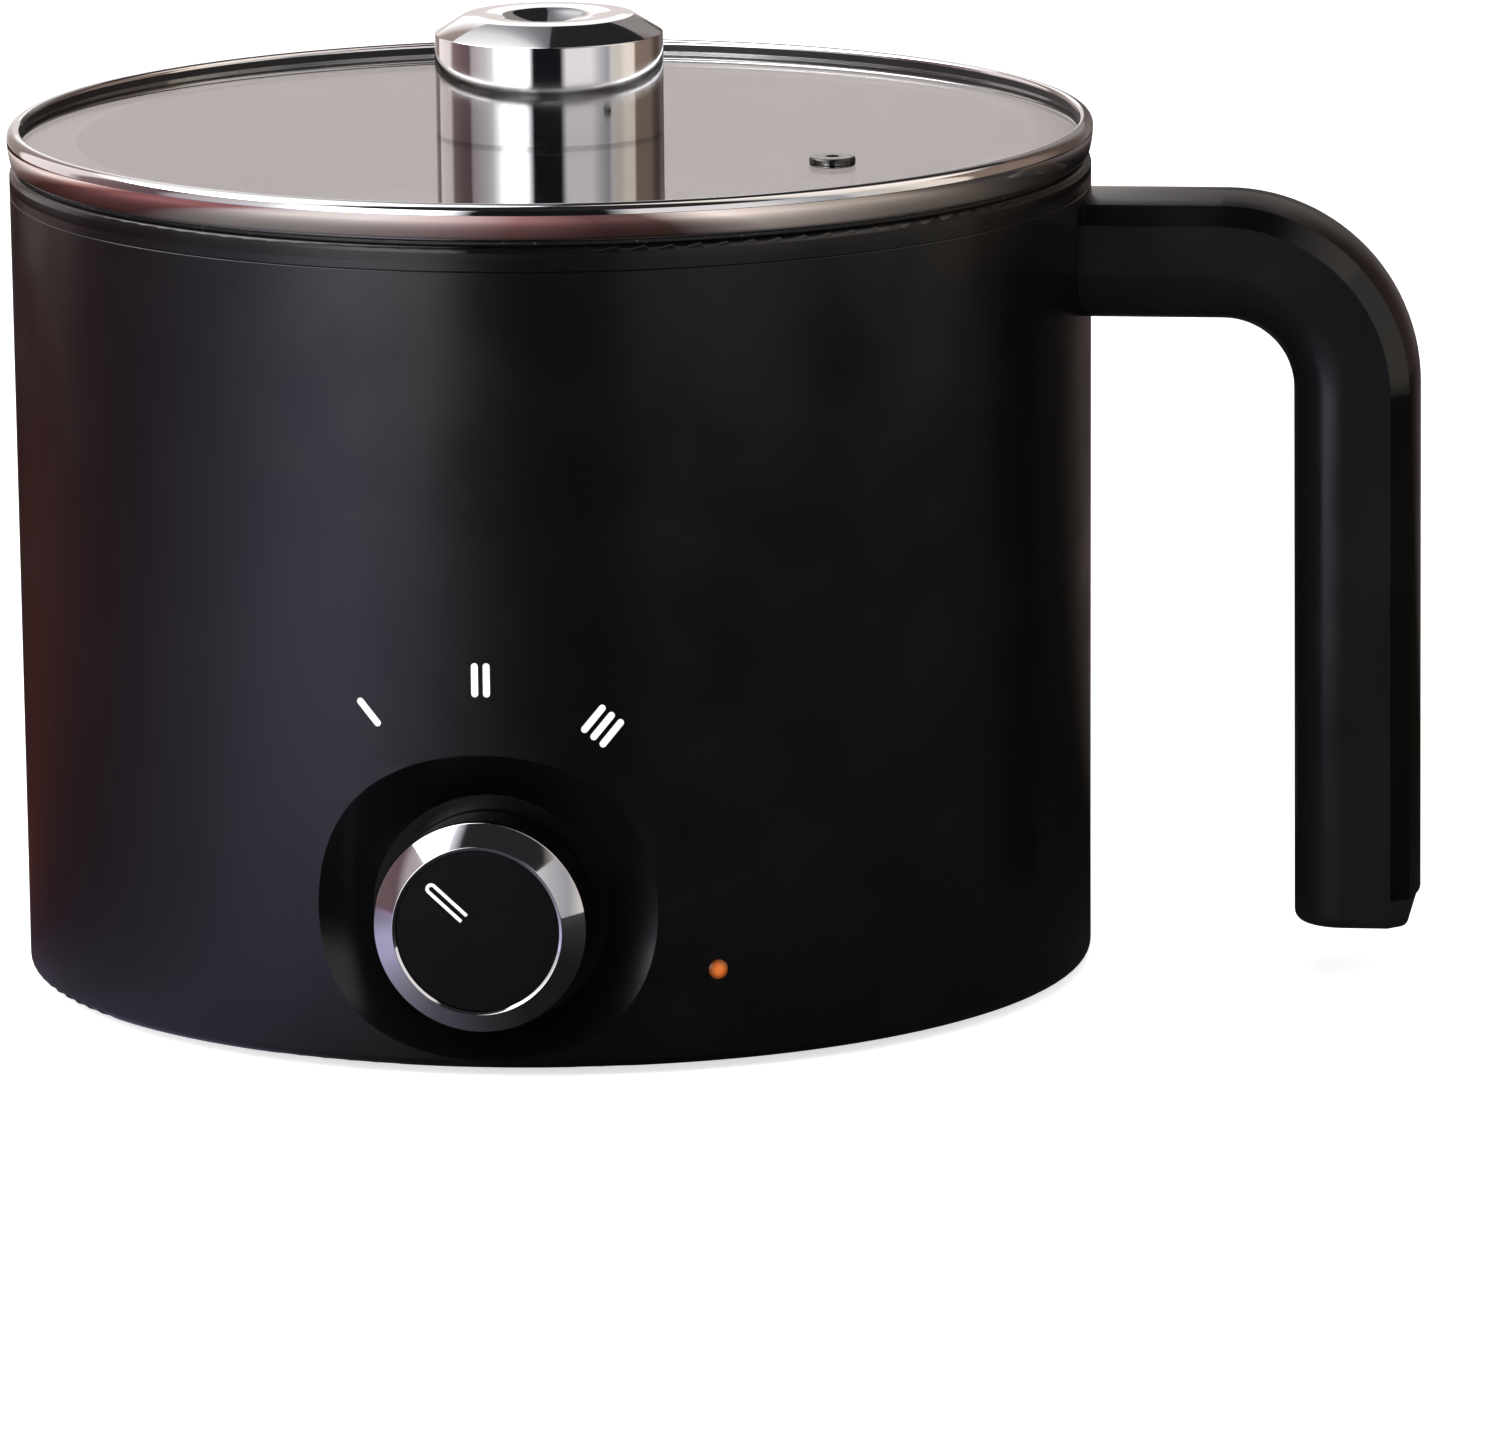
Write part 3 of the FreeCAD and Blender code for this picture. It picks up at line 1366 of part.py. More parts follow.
def make_handle_cover():
    strip = swept("handle_strip", cover_section(), size.handle_end_height + size.cover_end_gap)
    bosses, holes, screws = [], [], []
    inner = GRIP_INNER + size.handle_wall
    under = GRIP_INNER + size.cover_screw_sink
    length = size.handle_thickness - size.handle_wall - size.cover_depth / 2
    for number, height in enumerate(cover_screw_heights(), start=1):
        bosses.append(rod(f"cover_boss_{number}", size.cover_boss_radius, length,
                          x=inner, z=height, turn=90, about=(0, 1, 0)))
        holes.append(rod(f"cover_boss_hole_{number}", SCREW_HOLE,
                         length - size.screw_end_wall + PAST, x=inner - PAST, z=height,
                         turn=90, about=(0, 1, 0)))
        screw = screw_body(f"cover_screw_{number}", size.screw_shank_radius,
                           size.screw_head_radius, size.cover_screw_sink,
                           length - size.screw_end_wall)
        screws.append(place(screw, x=under, z=height, turn=90, about=(0, 1, 0)))
    whole = joined("cover_whole", strip, *bosses)
    root = shell_envelope("cover_root_form")
    keep(cut("handle_cover", whole, joined("cover_tools", root, *holes)), "handle_cover")
    keep(group("cover_screws", screws), "cover_screws")


def make_handle_fixings():
    """A curved plate inside the shell and the two screws that pull the handle's root to it."""
    low = HANDLE_UNDER + size.handle_screw_centre - size.bracket_height / 2
    inner = shell_radius(low) - size.shell_wall - size.screw_play
    seat = inner - size.bracket_thickness - size.screw_play
    ring = spin("bracket_ring", ring_path(inner - size.bracket_thickness, inner, low,
                                          low + size.bracket_height))
    window = block("bracket_window", size.shell_top_radius, size.bracket_width,
                   size.bracket_height, x=size.shell_top_radius, y=-(size.bracket_width / 2),
                   z=low)
    curved = shared("bracket_curved", ring, window)
    holes = handle_screw_holes("bracket_hole", POT_OUTER, size.shell_wall * 6)
    keep(cut("handle_bracket", curved, *holes), "handle_bracket")
    screws = []
    for number, height in enumerate(handle_screw_heights(), start=1):
        screw = screw_body(f"handle_screw_{number}", size.handle_screw_radius,
                           size.handle_screw_head_radius, size.handle_screw_head_height,
                           size.handle_screw_length)
        screws.append(place(screw, x=seat, z=height, turn=90, about=(0, 1, 0)))
    keep(group("handle_screws", screws), "handle_screws")


# Lid


def make_lid_rim():
    foot = FLANGE_TOP
    bend = size.rim_round
    foot_bend = size.rim_foot_round
    top = foot + size.rim_height
    skirt = POT_RADIUS - size.rim_skirt_gap
    wall = RIM_TOP_RADIUS - size.rim_wall
    bead = size.rim_bead_round
    path = [
        (skirt - size.rim_lip, foot - size.rim_skirt_drop),
        (skirt, foot - size.rim_skirt_drop),
        (skirt, foot),
        (RIM_FOOT_RADIUS - foot_bend, foot),
        (RIM_FOOT_RADIUS, foot + foot_bend, foot_bend, "left"),
        (RIM_TOP_RADIUS, top - bend),
        (RIM_TOP_RADIUS - bend, top, bend, "left"),
        (RIM_BEAD_RADIUS + bead, top),
        (RIM_BEAD_RADIUS, top - bead, bead, "left"),
        (RIM_BEAD_RADIUS, GLASS_TOP),
        (wall, GLASS_TOP),
        (wall, GLASS_UNDER),
        (skirt - size.rim_lip, GLASS_UNDER),
    ]
    keep(spin("lid_rim", path), "lid_rim")


def vent_spot():
    return polar(size.vent_place, -size.vent_angle)


def make_lid_glass():
    disc = rod("glass_disc", RIM_TOP_RADIUS - size.rim_wall - size.glass_gap,
               size.glass_thickness, z=GLASS_UNDER)
    middle = rod("glass_middle", size.lid_screw_radius + size.lid_hole_play,
                 size.glass_thickness * 3, z=GLASS_UNDER - size.glass_thickness)
    x, y = vent_spot()
    vent = rod("glass_vent", size.grommet_neck + size.lens_play, size.glass_thickness * 3,
               x=x, y=y, z=GLASS_UNDER - size.glass_thickness)
    keep(cut("lid_glass", disc, middle, vent), "lid_glass")


def make_vent_grommet():
    low = GLASS_UNDER - size.grommet_flange
    high = GLASS_TOP + size.grommet_flange
    bend = size.grommet_flange * 0.6
    path = [
        (size.grommet_bore, low), (size.grommet_radius, low), (size.grommet_radius, GLASS_UNDER),
        (size.grommet_neck, GLASS_UNDER), (size.grommet_neck, GLASS_TOP),
        (size.grommet_radius, GLASS_TOP), (size.grommet_radius, high - bend),
        (size.grommet_radius - bend, high, bend, "left"), (size.grommet_bore, high),
    ]
    x, y = vent_spot()
    keep(place(spin("vent_grommet", path), x=x, y=y), "vent_grommet")


def make_lid_knob():
    foot = GLASS_TOP
    top = foot + size.lid_knob_height
    edge = size.lid_knob_radius
    crest = edge - size.lid_knob_shoulder
    well = crest - size.lid_knob_land
    inner = edge - size.lid_knob_wall
    ceiling = top - size.lid_knob_dish - size.lid_knob_wall - size.lid_knob_slope
    dish = crown_radius(well, size.lid_knob_dish)
    path = [
        (size.insert_radius, foot), (size.lid_post_radius, foot), (size.lid_post_radius, ceiling),
        (inner, ceiling), (inner, foot), (edge, foot), (edge, top - size.lid_knob_slope),
        (crest, top), (well, top), (0, top - size.lid_knob_dish, dish, "right"),
        (0, foot + size.insert_length), (size.insert_radius, foot + size.insert_length),
    ]
    keep(spin("lid_knob", path), "lid_knob")
    hole = size.lid_screw_radius + size.screw_play
    insert = ring_path(hole, size.insert_radius, foot, foot + size.insert_length)
    keep(spin("lid_knob_insert", insert), "lid_knob_insert")
    washer_low = GLASS_UNDER - size.lid_washer_thickness
    washer = ring_path(hole, size.lid_washer_radius, washer_low, GLASS_UNDER)
    keep(spin("lid_washer", washer), "lid_washer")
    length = size.lid_washer_thickness + size.glass_thickness + size.lid_screw_bite
    screw = screw_body("lid_knob_screw", size.lid_screw_radius, size.lid_screw_head_radius,
                       size.lid_screw_head_height, length)
    keep(place(screw, z=washer_low), "lid_knob_screw")


# Inside wiring. Each lead is a tube of straight runs joined by tangent arcs.


def rounded_route(points, bend):
    """A wire through points, with an arc of radius bend at each inner point."""
    edges = []
    start = points[0]
    for before, corner, after in zip(points, points[1:], points[2:]):
        back = (before - corner).normalize()
        ahead = (after - corner).normalize()
        half = math.acos(max(-1.0, min(1.0, back.dot(ahead)))) / 2
        reach = bend / math.tan(half)
        middle_way = (back + ahead).normalize()
        middle = corner + middle_way * (bend / math.sin(half) - bend)
        enter = corner + back * reach
        leave = corner + ahead * reach
        edges.append(Part.LineSegment(start, enter).toShape())
        edges.append(Part.Arc(enter, middle, leave).toShape())
        start = leave
    edges.append(Part.LineSegment(start, points[-1]).toShape())
    return Part.Wire(edges)


def lead_shape(points, radius):
    route = rounded_route(points, size.lead_bend.value)
    circle = Part.Circle(points[0], points[1] - points[0], radius)
    return route.makePipeShell([Part.Wire([circle.toShape()])], True, False)


def lead(name, routes, radius):
    feature = doc.addObject("Part::Feature", name)
    shapes = [lead_shape([FreeCAD.Vector(*stop) for stop in route], radius) for route in routes]
    feature.Shape = shapes[0] if len(shapes) == 1 else Part.makeCompound(shapes)
    feature.Placement = FreeCAD.Placement()
    keep(feature, name)


def make_leads():
    """The leads end face to face with the tabs and terminals that they serve."""
    radius = size.lead_radius.value
    low = size.lead_floor.value
    under = low - radius * 3
    down = size.lead_bend.value * 2
    pitch = size.pin_pitch.value
    inlet_y = (INLET_BACK - size.pin_back).value
    inlet_z = (size.inlet_height - size.pin_offset).value
    switch_y = -(SWITCH_BACK - size.blade_length).value
    switch_z = size.knob_height.value
    blade_z = (PLATE_UNDER - size.thermostat_height - size.blade_length).value
    blade_y = size.blade_offset.value
    ends = [(x.value, y.value) for x, y in terminal_places()]
    end_z = (HEATER_PLANE - size.terminal_length).value
    lead("live_lead", [[
        (-pitch, inlet_y, inlet_z), (-pitch, inlet_y - down, inlet_z),
        (-pitch, inlet_y - down * 2, under), (-pitch, switch_y + down * 2.5, under),
        (-pitch, switch_y + down, switch_z), (-pitch, switch_y, switch_z),
    ]], radius)
    lead("neutral_lead", [[
        (pitch, inlet_y, inlet_z), (pitch, ends[0][1], inlet_z),
        (ends[0][0], ends[0][1], inlet_z), (ends[0][0], ends[0][1], end_z),
    ]], radius)
    lead("switched_lead", [[
        (pitch, switch_y, switch_z), (pitch, switch_y + down, switch_z),
        (pitch, switch_y + down * 2.5, low), (0, -blade_y, low), (0, -blade_y, blade_z),
    ]], radius)
    lead("heater_lead", [[
        (0, blade_y, blade_z), (0, blade_y, low), (ends[1][0], ends[1][1] - down, low),
        (ends[1][0], ends[1][1], low + radius), (ends[1][0], ends[1][1], end_z),
    ]], radius)
    make_lamp_leads(pitch, switch_y, switch_z, inlet_y, inlet_z)


def make_lamp_leads(pitch, switch_y, switch_z, inlet_y, inlet_z):
    """Two thin leads from the lamp: one to the switch's tab and one to the neutral pin."""
    radius = size.lamp_lead_radius.value
    wall = shell_radius(size.lamp_height) - size.shell_wall - size.lamp_inset
    back = wall - size.lens_flange_length - size.lamp_inset - size.neon_length
    height = size.lamp_height.value
    inward = size.lead_bend.value * 2.5
    near = back.value
    across, ahead = sine(size.lamp_angle).value, -cosine(size.lamp_angle).value
    beside = radius * 2
    starts = [(near * across - beside * side * ahead, near * ahead + beside * side * across, height)
              for side in (-1, 1)]
    turns = [(x - inward * across, y - inward * ahead, z) for x, y, z in starts]
    tab_side = pitch + size.blade_width.value / 2 + radius
    pin_side = pitch + size.pin_width.value / 2
    pin_y = inlet_y + size.pin_back.value / 2
    swing = size.lamp_lead_swing.value
    lead("lamp_leads", [
        [starts[0], turns[0], (tab_side, switch_y + inward, switch_z),
         (tab_side, switch_y - size.blade_length.value / 2, switch_z)],
        [starts[1], turns[1], (swing, 0, height), (swing, inlet_y - inward, inlet_z),
         (swing, pin_y, inlet_z), (pin_side, pin_y, inlet_z)],
    ], radius)


def check_document():
    """Stops if any object failed or a sub-part has no valid shape."""
    for thing in doc.Objects:
        if "Invalid" in thing.State or "Error" in thing.State:
            raise RuntimeError(f"{thing.Name} failed: {thing.State}")
    for part in sub_parts:
        if part.Shape.isNull() or not part.Shape.isValid():
            raise RuntimeError(f"{part.Label} has no valid shape")
        if not part.Shape.Solids:
            raise RuntimeError(f"{part.Label} has no solid")


def main():
    make_sheet()
    make_outer_shell()
    make_level_marks()
    make_pot()
    make_heating_plate()
    make_heating_element()
    make_heat_shield()
    make_standoffs()
    make_thermostat()
    make_thermal_fuse()
    make_rotary_switch()
    make_switch_shaft()
    make_knob_body()
    make_knob_face()
    make_knob_clip()
    make_lamp()
    make_power_inlet()
    make_base_cover()
    make_foot_ring()
    make_handle_body()
    make_handle_cover()
    make_handle_fixings()
    make_lid_rim()
    make_lid_glass()
    make_vent_grommet()
    make_lid_knob()
    make_leads()
    doc.recompute()
    check_document()
    os.makedirs("parts", exist_ok=True)
    for part in sub_parts:
        part.Shape.exportStep(f"parts/{part.Label}.step")
        print(part.Label, len(part.Shape.Solids), round(part.Shape.Volume / 1000, 2))


main()
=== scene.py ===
import json
import math

import bpy
from mathutils import Matrix, Vector

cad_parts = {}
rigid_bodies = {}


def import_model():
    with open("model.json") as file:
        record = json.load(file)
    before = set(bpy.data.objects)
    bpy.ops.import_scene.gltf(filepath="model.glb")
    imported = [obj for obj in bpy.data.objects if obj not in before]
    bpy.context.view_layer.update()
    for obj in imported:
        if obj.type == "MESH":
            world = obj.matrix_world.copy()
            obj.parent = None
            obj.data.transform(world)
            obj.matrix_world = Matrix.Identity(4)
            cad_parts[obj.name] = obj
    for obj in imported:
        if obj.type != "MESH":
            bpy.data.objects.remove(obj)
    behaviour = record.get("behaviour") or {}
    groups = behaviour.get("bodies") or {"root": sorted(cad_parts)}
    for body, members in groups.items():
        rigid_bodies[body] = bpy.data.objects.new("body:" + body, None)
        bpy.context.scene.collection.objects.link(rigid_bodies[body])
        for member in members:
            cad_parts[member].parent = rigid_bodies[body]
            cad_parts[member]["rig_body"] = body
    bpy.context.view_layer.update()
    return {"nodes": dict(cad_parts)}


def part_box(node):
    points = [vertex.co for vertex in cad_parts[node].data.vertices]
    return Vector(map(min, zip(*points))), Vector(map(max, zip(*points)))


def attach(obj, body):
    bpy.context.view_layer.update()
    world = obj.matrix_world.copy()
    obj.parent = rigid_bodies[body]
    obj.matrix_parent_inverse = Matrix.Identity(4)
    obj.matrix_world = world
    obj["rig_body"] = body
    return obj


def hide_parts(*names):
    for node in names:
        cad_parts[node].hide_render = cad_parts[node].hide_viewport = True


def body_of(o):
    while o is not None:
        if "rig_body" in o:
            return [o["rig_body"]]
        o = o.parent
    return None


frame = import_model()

# The looks of an electric wax melter: finishes on the frame's own nodes, a plain studio and the
# camera. Lengths are in metres in the part's frame (+Z up, knob towards -Y, handle towards +X),
# angles are in degrees, and azimuths run from the front (-Y) towards the handle (+X).

nodes = frame["nodes"]

# Camera
LENS_MM = 288.0
SENSOR_MM = 36.0
CAMERA_DISTANCE = 2.0616
CAMERA_AZIMUTH = 7.0
CAMERA_ELEVATION = 11.69
CAMERA_ROLL = -0.6
CAMERA_CLIP = (0.1, 50.0)
AIM = Vector((0.0327, 0.0041, 0.0418))

# Studio
FLOOR_SIZE = 12.0
FLOOR_ALBEDO = 0.82
FLOOR_LIFT = 0.68
SKY_LEVEL = 0.55
PANEL_STEPS = 720

# The lamps: name, azimuth, elevation, distance, width, height, power and colour
LAMPS = [
    ("key", -49, 24, 1.5, 0.9, 1.3, 22.0, (0.95, 0.97, 1.0)),
    ("top", 20, 82, 1.6, 1.4, 1.4, 16.0, (1.0, 0.99, 0.97)),
    ("fill", 70, 30, 1.8, 1.0, 1.0, 6.0, (1.0, 0.97, 0.94)),
]

# Rings of glowing panels that only reflections show. Their colours are stops by azimuth from the
# camera's own, with straight runs between them. CARD_STOPS lie on the floor, where the pot's
# upright wall looks, and RIM_STOPS on a flat cone that starts at the lid's foot, so that only the
# lid's band sees it from above. WALL_STOPS stand round them, where the lid's knob and glass look,
# BACK_STOPS over those, where the knob's flat land looks, and CEILING_STOPS on top.
CARD_STOPS = [
    (-180, (0.03, 0.012, 0.011)), (-150, (0.05, 0.02, 0.019)), (-122, (0.16, 0.052, 0.048)),
    (-100, (0.14, 0.07, 0.09)), (-88, (0.19, 0.13, 0.2)), (-70, (0.36, 0.33, 0.45)),
    (-52, (0.72, 0.68, 1.0)), (-38, (0.76, 0.7, 1.05)), (-24, (0.38, 0.37, 0.46)),
    (-15, (0.15, 0.135, 0.18)), (-6, (0.05, 0.05, 0.056)), (0, (0.022, 0.022, 0.021)),
    (14, (0.02, 0.02, 0.019)), (32, (0.04, 0.04, 0.04)), (60, (0.043, 0.043, 0.043)),
    (80, (0.05, 0.048, 0.042)), (112, (0.02, 0.018, 0.015)), (130, (0.012, 0.011, 0.008)),
    (142, (0.08, 0.065, 0.06)), (150, (0.13, 0.1, 0.1)), (165, (0.09, 0.06, 0.06)),
    (180, (0.03, 0.012, 0.011)),
]
RIM_STOPS = [
    (-180, (0.3, 0.2, 0.18)), (-97, (0.7, 0.58, 0.55)), (-89, (0.4, 0.22, 0.2)),
    (-79, (0.16, 0.06, 0.055)), (-67, (0.22, 0.085, 0.09)), (-53, (0.2, 0.08, 0.08)),
    (-47, (0.4, 0.33, 0.32)), (-39, (0.56, 0.5, 0.48)), (-26, (0.6, 0.53, 0.51)),
    (-15, (0.5, 0.37, 0.37)), (-4, (0.25, 0.12, 0.12)), (7, (0.1, 0.045, 0.045)),
    (15, (0.1, 0.055, 0.05)), (26, (0.7, 0.6, 0.55)), (36, (0.5, 0.42, 0.38)),
    (44, (0.34, 0.29, 0.25)), (56, (0.24, 0.2, 0.17)), (67, (0.1, 0.08, 0.07)),
    (75, (0.05, 0.04, 0.036)), (90, (0.02, 0.018, 0.02)), (120, (0.1, 0.08, 0.075)),
    (180, (0.3, 0.2, 0.18)),
]
WALL_STOPS = [
    (-180, (0.8, 0.72, 0.7)), (-168, (0.8, 0.72, 0.7)), (-158, (0.38, 0.3, 0.27)),
    (-146, (0.26, 0.2, 0.19)), (-143, (1.0, 0.9, 0.88)), (-118, (0.86, 0.75, 0.74)),
    (-112, (0.25, 0.17, 0.17)), (-98, (0.17, 0.11, 0.115)), (-87, (0.14, 0.09, 0.1)),
    (-83, (0.43, 0.37, 0.38)), (-66, (0.62, 0.58, 0.6)), (-59, (0.82, 0.8, 0.8)),
    (-52, (1.6, 1.6, 1.6)), (-45, (3.0, 3.0, 3.0)), (-24, (3.0, 3.0, 3.0)),
    (-18, (0.9, 0.9, 0.93)), (-15, (0.008, 0.008, 0.01)), (12, (0.008, 0.008, 0.01)),
    (18, (0.84, 0.8, 0.8)), (43, (0.86, 0.8, 0.8)), (54, (0.5, 0.49, 0.5)),
    (62, (0.36, 0.35, 0.37)), (66, (0.65, 0.62, 0.6)), (76, (0.68, 0.61, 0.54)),
    (84, (0.9, 0.8, 0.7)), (95, (0.92, 0.79, 0.68)), (98, (0.25, 0.18, 0.14)),
    (123, (0.23, 0.17, 0.14)), (134, (0.1, 0.07, 0.058)), (144, (0.1, 0.07, 0.058)),
    (156, (0.2, 0.165, 0.155)), (172.5, (0.1, 0.09, 0.085)), (175.2, (0.8, 0.72, 0.7)),
    (180, (0.8, 0.72, 0.7)),
]
BACK_STOPS = [
    (-180, (1.25, 1.22, 1.2)), (-168, (1.25, 1.22, 1.2)), (-160, (0.4, 0.31, 0.28)),
    *[stop for stop in WALL_STOPS if -160 < stop[0] < 156],
    (160, (0.3, 0.27, 0.26)), (173.5, (0.28, 0.26, 0.25)), (175.5, (1.25, 1.22, 1.2)),
    (180, (1.25, 1.22, 1.2)),
]
CEILING_STOPS = [
    (-180, (0.17, 0.17, 0.18)), (-174, (0.22, 0.22, 0.23)), (-166, (0.42, 0.41, 0.43)),
    (-158, (0.8, 0.79, 0.79)), (-138, (1.2, 1.16, 1.16)), (-130, (1.6, 1.55, 1.55)),
    (-122, (6.0, 5.9, 6.0)), (-72, (6.0, 5.9, 6.0)), (-58, (0.8, 0.78, 0.85)),
    (-46, (0.02, 0.02, 0.022)), (52, (0.02, 0.02, 0.022)), (66, (0.9, 0.82, 0.76)),
    (118, (1.2, 1.08, 0.98)), (126, (0.3, 0.25, 0.23)), (136, (0.02, 0.02, 0.022)),
    (180, (0.02, 0.02, 0.022)),
]

# The panels: name, colours, and the radius, height and gain of the ring's inner or lower edge and
# of its outer or upper edge
PANELS = [
    ("near_floor", CARD_STOPS, (0.05, 0.001, 0.4), (0.4, 0.001, 1.2)),
    ("mid_floor", CARD_STOPS, (0.4, 0.001, 1.2), (0.95, 0.001, 0.75)),
    ("rim_eaves", RIM_STOPS, (0.0927, 0.1362, 0.15), (0.147, 0.1253, 1.6)),
    ("rim_cone", RIM_STOPS, (0.147, 0.1253, 1.6), (0.76, 0.002, 1.6)),
    ("far_floor", WALL_STOPS, (0.95, 0.001, 1.0), (1.3, 0.001, 1.0)),
    ("wall", WALL_STOPS, (1.3, 0.001, 1.0), (1.3, 0.375, 1.0)),
    ("back", BACK_STOPS, (1.3, 0.375, 1.0), (1.3, 1.0, 1.0)),
    ("ceiling", CEILING_STOPS, (1.3, 1.0, 1.0), (0.02, 1.5, 1.0)),
]

# The pilot lamp's lens: the way it faces, and how far from its axis the glow starts to fade and
# is faintest, and the painted shade that darkens its base colour starts and is deepest
LENS_AZIMUTH = 24.4
LENS_GLOW_AND_SHADE_START = 0.0006
LENS_GLOW_AND_SHADE_END = 0.0017

# The turned chrome pieces
TURN_STEPS = 256
SHARP_ANGLE = 28
RIM_TAPER = 0.0009
RIM_BULGE = 0.0001
RIM_BEAD_WIDTH = 0.0026
RIM_WALL = 0.0018
RIM_LIP = 0.0009
RIM_SKIRT_RADIUS = 0.0814
RIM_SKIRT_DROP = 0.003
RIM_ROUND = 0.0017
RIM_FOOT_ROUND = 0.0012
RIM_BEAD_ROUND = 0.0008
RIM_LINED_SIDES = 5
RIM_SEAT_GAP = 0.0001
LID_KNOB_SHOULDER = 0.0048
LID_KNOB_SLOPE = 0.0032
LID_KNOB_LAND = 0.0062
LID_KNOB_CROWN = 0.0002
LID_KNOB_DISH = 0.0025
LID_KNOB_DISH_STEPS = 12
LID_KNOB_WALL = 0.0025
LID_POST_RADIUS = 0.006
LID_INSERT_RADIUS = 0.0035
LID_INSERT_LENGTH = 0.009
AXIS_GAP = 0.0001
EDGE_ROUND = 0.00035
BEZEL_WIDTH = 0.004
BEZEL_EDGE = 0.0013
BEZEL_BROW = 0.0005
BEZEL_LEAD_IN = 0.0003


def direction(azimuth, elevation=0.0):
    """A unit vector from the pot's axis at an azimuth and elevation."""
    turn, rise = math.radians(azimuth), math.radians(elevation)
    level = math.cos(rise)
    return Vector((math.sin(turn) * level, -math.cos(turn) * level, math.sin(rise)))


def make_camera():
    back = direction(CAMERA_AZIMUTH, CAMERA_ELEVATION)
    side = direction(CAMERA_AZIMUTH + 90)
    up = back.cross(side)
    roll = math.radians(CAMERA_ROLL)
    right = side * math.cos(roll) + up * math.sin(roll)
    top = up * math.cos(roll) - side * math.sin(roll)
    data = bpy.data.cameras.new("camera")
    data.lens = LENS_MM
    data.sensor_width = SENSOR_MM
    data.clip_start, data.clip_end = CAMERA_CLIP
    camera = bpy.data.objects.new("camera", data)
    spin = Matrix((right, top, back)).transposed().to_4x4()
    camera.matrix_world = Matrix.Translation(AIM + back * CAMERA_DISTANCE) @ spin
    bpy.context.scene.collection.objects.link(camera)
    bpy.context.scene.camera = camera


# Materials


class Finish:
    """A procedural material: a Principled shader and the nodes that feed it."""

    def __init__(self, name, color, roughness, metallic=0.0, **fixed):
        self.material = bpy.data.materials.new(name)
        self.material.use_nodes = True
        self.tree = self.material.node_tree
        self.shader = self.tree.nodes["Principled BSDF"]
        self.place = self.tree.nodes.new("ShaderNodeTexCoord").outputs["Object"]
        self.put("Base Color", (*color, 1.0))
        self.put("Roughness", roughness)
        self.put("Metallic", metallic)
        for socket, value in fixed.items():
            self.put(socket.replace("_", " "), value)

    def put(self, socket, value):
        self.shader.inputs[socket].default_value = value

    def node(self, kind, **settings):
        made = self.tree.nodes.new(kind)
        for key, value in settings.items():
            if key in made.inputs:
                made.inputs[key].default_value = value
            else:
                setattr(made, key, value)
        return made

    def link(self, source, target):
        self.tree.links.new(source, target)

    def stretched(self, scale):
        """The place, scaled apart along X, Y and Z."""
        mapping = self.node("ShaderNodeMapping")
        mapping.inputs["Scale"].default_value = scale
        self.link(self.place, mapping.inputs["Vector"])
        return mapping.outputs["Vector"]

    def noise(self, scale, detail=3.0, stretch=None, roughness=0.5):
        made = self.node("ShaderNodeTexNoise", Scale=scale, Detail=detail, Roughness=roughness)
        self.link(self.stretched(stretch) if stretch else self.place, made.inputs["Vector"])
        return made.outputs["Fac"]

    def cells(self, scale):
        made = self.node("ShaderNodeTexVoronoi", Scale=scale)
        self.link(self.place, made.inputs["Vector"])
        return made.outputs["Distance"]

    def spread(self, source, low, high, start=0.3, end=0.7):
        """A value mapped from start..end to low..high."""
        made = self.node("ShaderNodeMapRange")
        made.inputs["From Min"].default_value = start
        made.inputs["From Max"].default_value = end
        made.inputs["To Min"].default_value = low
        made.inputs["To Max"].default_value = high
        self.link(source, made.inputs["Value"])
        return made.outputs["Result"]

    def tint(self, source, low, high, start=0.35, end=0.65, socket="Base Color"):
        """A colour that runs from low to high as source runs from start to end."""
        made = self.node("ShaderNodeValToRGB")
        made.color_ramp.elements[0].position = start
        made.color_ramp.elements[0].color = (*low, 1.0)
        made.color_ramp.elements[1].position = end
        made.color_ramp.elements[1].color = (*high, 1.0)
        self.link(source, made.inputs["Fac"])
        self.link(made.outputs["Color"], self.shader.inputs[socket])
        return self

    def rough(self, source, low, high):
        self.link(self.spread(source, low, high), self.shader.inputs["Roughness"])
        return self

    def bump(self, source, strength, depth):
        made = self.node("ShaderNodeBump", Strength=strength, Distance=depth)
        self.link(source, made.inputs["Height"])
        last = self.shader.inputs["Normal"].links
        if last:
            self.link(last[0].from_socket, made.inputs["Normal"])
        self.link(made.outputs["Normal"], self.shader.inputs["Normal"])
        return self

    def give(self, *names):
        for name in names:
            slots = nodes[name].data.materials
            slots.clear()
            slots.append(self.material)


def moulded(name, color, light, roughness, grain=2600.0, depth=0.00004, **fixed):
    """Injection-moulded plastic: fine grain, slow changes of gloss and a little colour drift."""
    finish = Finish(name, color, roughness, **fixed)
    finish.tint(finish.noise(22.0, 4.0), color, light)
    finish.rough(finish.noise(60.0, 5.0), roughness - 0.05, roughness + 0.05)
    finish.bump(finish.noise(grain, 2.0), 0.35, depth)
    return finish


def polished(name, color, roughness):
    """Plated metal: mirror gloss with faint wiping marks."""
    finish = Finish(name, color, roughness, metallic=1.0)
    finish.tint(finish.noise(30.0, 3.0), [c * 0.96 for c in color], color)
    finish.rough(finish.noise(90.0, 6.0, (1.0, 1.0, 6.0)), roughness * 0.7, roughness * 1.6)
    finish.bump(finish.noise(160.0, 2.0), 0.06, 0.00002)
    return finish


